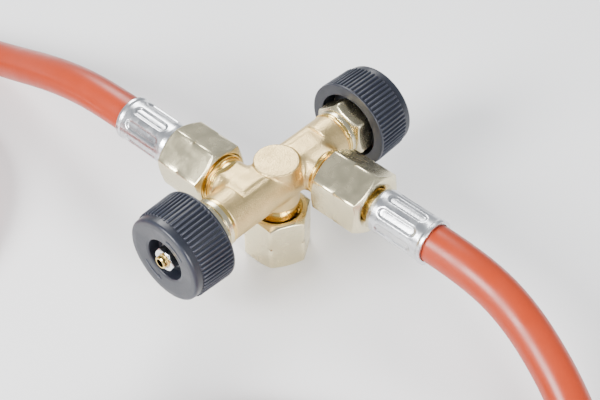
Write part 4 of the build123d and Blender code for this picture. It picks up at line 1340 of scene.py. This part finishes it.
class DISTRIBUTOR_OT_ferrules(bpy.types.Operator):
    """Zinc ferrules with the long marks of the crimping jaws"""
    bl_idname = "distributor.ferrules"
    bl_label = "Ferrules"

    def execute(self, context):
        size = settings("ferrules")
        start, end = FERRULE
        outside = 7.0 * MM
        press = (start + size.start, start + size.start + size.length)
        outline = soft_outline([
            (3.1 * MM, start, 0.1 * MM), (outside - 0.3 * MM, start, 0.6 * MM),
            (outside, start + 1.6 * MM, 0.5 * MM),
            *ramp((outside, press[0] - 0.3 * MM), (outside, press[1] + 0.3 * MM), 56),
            (outside, end - 1.7 * MM, 0.4 * MM), (outside + 0.3 * MM, end - 1.0 * MM, 0.3 * MM),
            (outside + 0.3 * MM, end, 0.3 * MM), (6.1 * MM, end, 0.2 * MM),
            (6.1 * MM, start + 1.4 * MM, 0), (3.1 * MM, start + 1.4 * MM, 0),
        ])
        shell = turned(outline, Matrix.Identity(4), 200)
        pressed = grown(pressing_tree(), {
            "Count": size.pressings, "Middle": sum(press) / 2, "Length": size.length,
            "Width": size.width, "Depth": size.depth, "Outside": outside - 0.4 * MM,
        }, shell)
        for prefix, place, ferrule in fittings():
            mesh = pressed.copy()
            mesh.transform(place)
            piece(
                f"{prefix}_ferrule_finished", mesh, FINISHES["zinc"], "root",
                [ferrule])
        return {"FINISHED"}


class DISTRIBUTOR_OT_inner_parts(bpy.types.Operator):
    """Finishes of the seals and spindles inside the valves"""
    bl_idname = "distributor.inner_parts"
    bl_label = "Inner parts"

    def execute(self, context):
        for name, side in SIDES:
            for what, finish in (
                ("bonnet_gasket", "gasket fibre"), ("spindle_o_ring", "seal rubber"),
                ("seat_disc", "seal rubber"), ("lower_spindle", "turned brass"),
                ("upper_spindle", "turned brass"),
            ):
                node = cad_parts[f"{name}_{what}"]
                node.data.materials.clear()
                node.data.materials.append(FINISHES[finish])
        return {"FINISHED"}


# ================================================================ panel and registration
class DISTRIBUTOR_PT_panel(bpy.types.Panel):
    """Lists the pieces and their sizes"""
    bl_idname = "DISTRIBUTOR_PT_panel"
    bl_label = "Gas Distributor"
    bl_space_type = "VIEW_3D"
    bl_region_type = "UI"
    bl_category = "Distributor"

    def draw(self, context):
        for operator in OPERATORS:
            self.layout.operator(operator.bl_idname)
        for name, group in SETTINGS.items():
            box = self.layout.box()
            box.label(text=name.capitalize())
            for key in group.__annotations__:
                box.prop(settings(name), key)


OPERATORS = (
    DISTRIBUTOR_OT_stage, DISTRIBUTOR_OT_coil_straps, DISTRIBUTOR_OT_union_nuts,
    DISTRIBUTOR_OT_nipples, DISTRIBUTOR_OT_ferrules, DISTRIBUTOR_OT_hoses,
    DISTRIBUTOR_OT_body, DISTRIBUTOR_OT_bonnets, DISTRIBUTOR_OT_handwheels,
    DISTRIBUTOR_OT_studs, DISTRIBUTOR_OT_inner_parts,
)


def register():
    for group in SETTINGS.values():
        bpy.utils.register_class(group)
    for operator in OPERATORS:
        bpy.utils.register_class(operator)
    bpy.utils.register_class(DISTRIBUTOR_PT_panel)
    for name, group in SETTINGS.items():
        setattr(bpy.types.Scene, f"{GROUP}_{name}", PointerProperty(type=group))


def unregister():
    for name in SETTINGS:
        delattr(bpy.types.Scene, f"{GROUP}_{name}")
    bpy.utils.unregister_class(DISTRIBUTOR_PT_panel)
    for operator in reversed(OPERATORS):
        bpy.utils.unregister_class(operator)
    for group in reversed(SETTINGS.values()):
        bpy.utils.unregister_class(group)


TREES = {}


def main():
    register()
    FINISHES.update(make_finishes())
    TREES.update({"ring": ring_tree(), "thread": thread_tree()})
    for operator in OPERATORS:
        getattr(bpy.ops.distributor, operator.bl_idname.split(".")[1])()


if __name__ == "__main__":
    main()
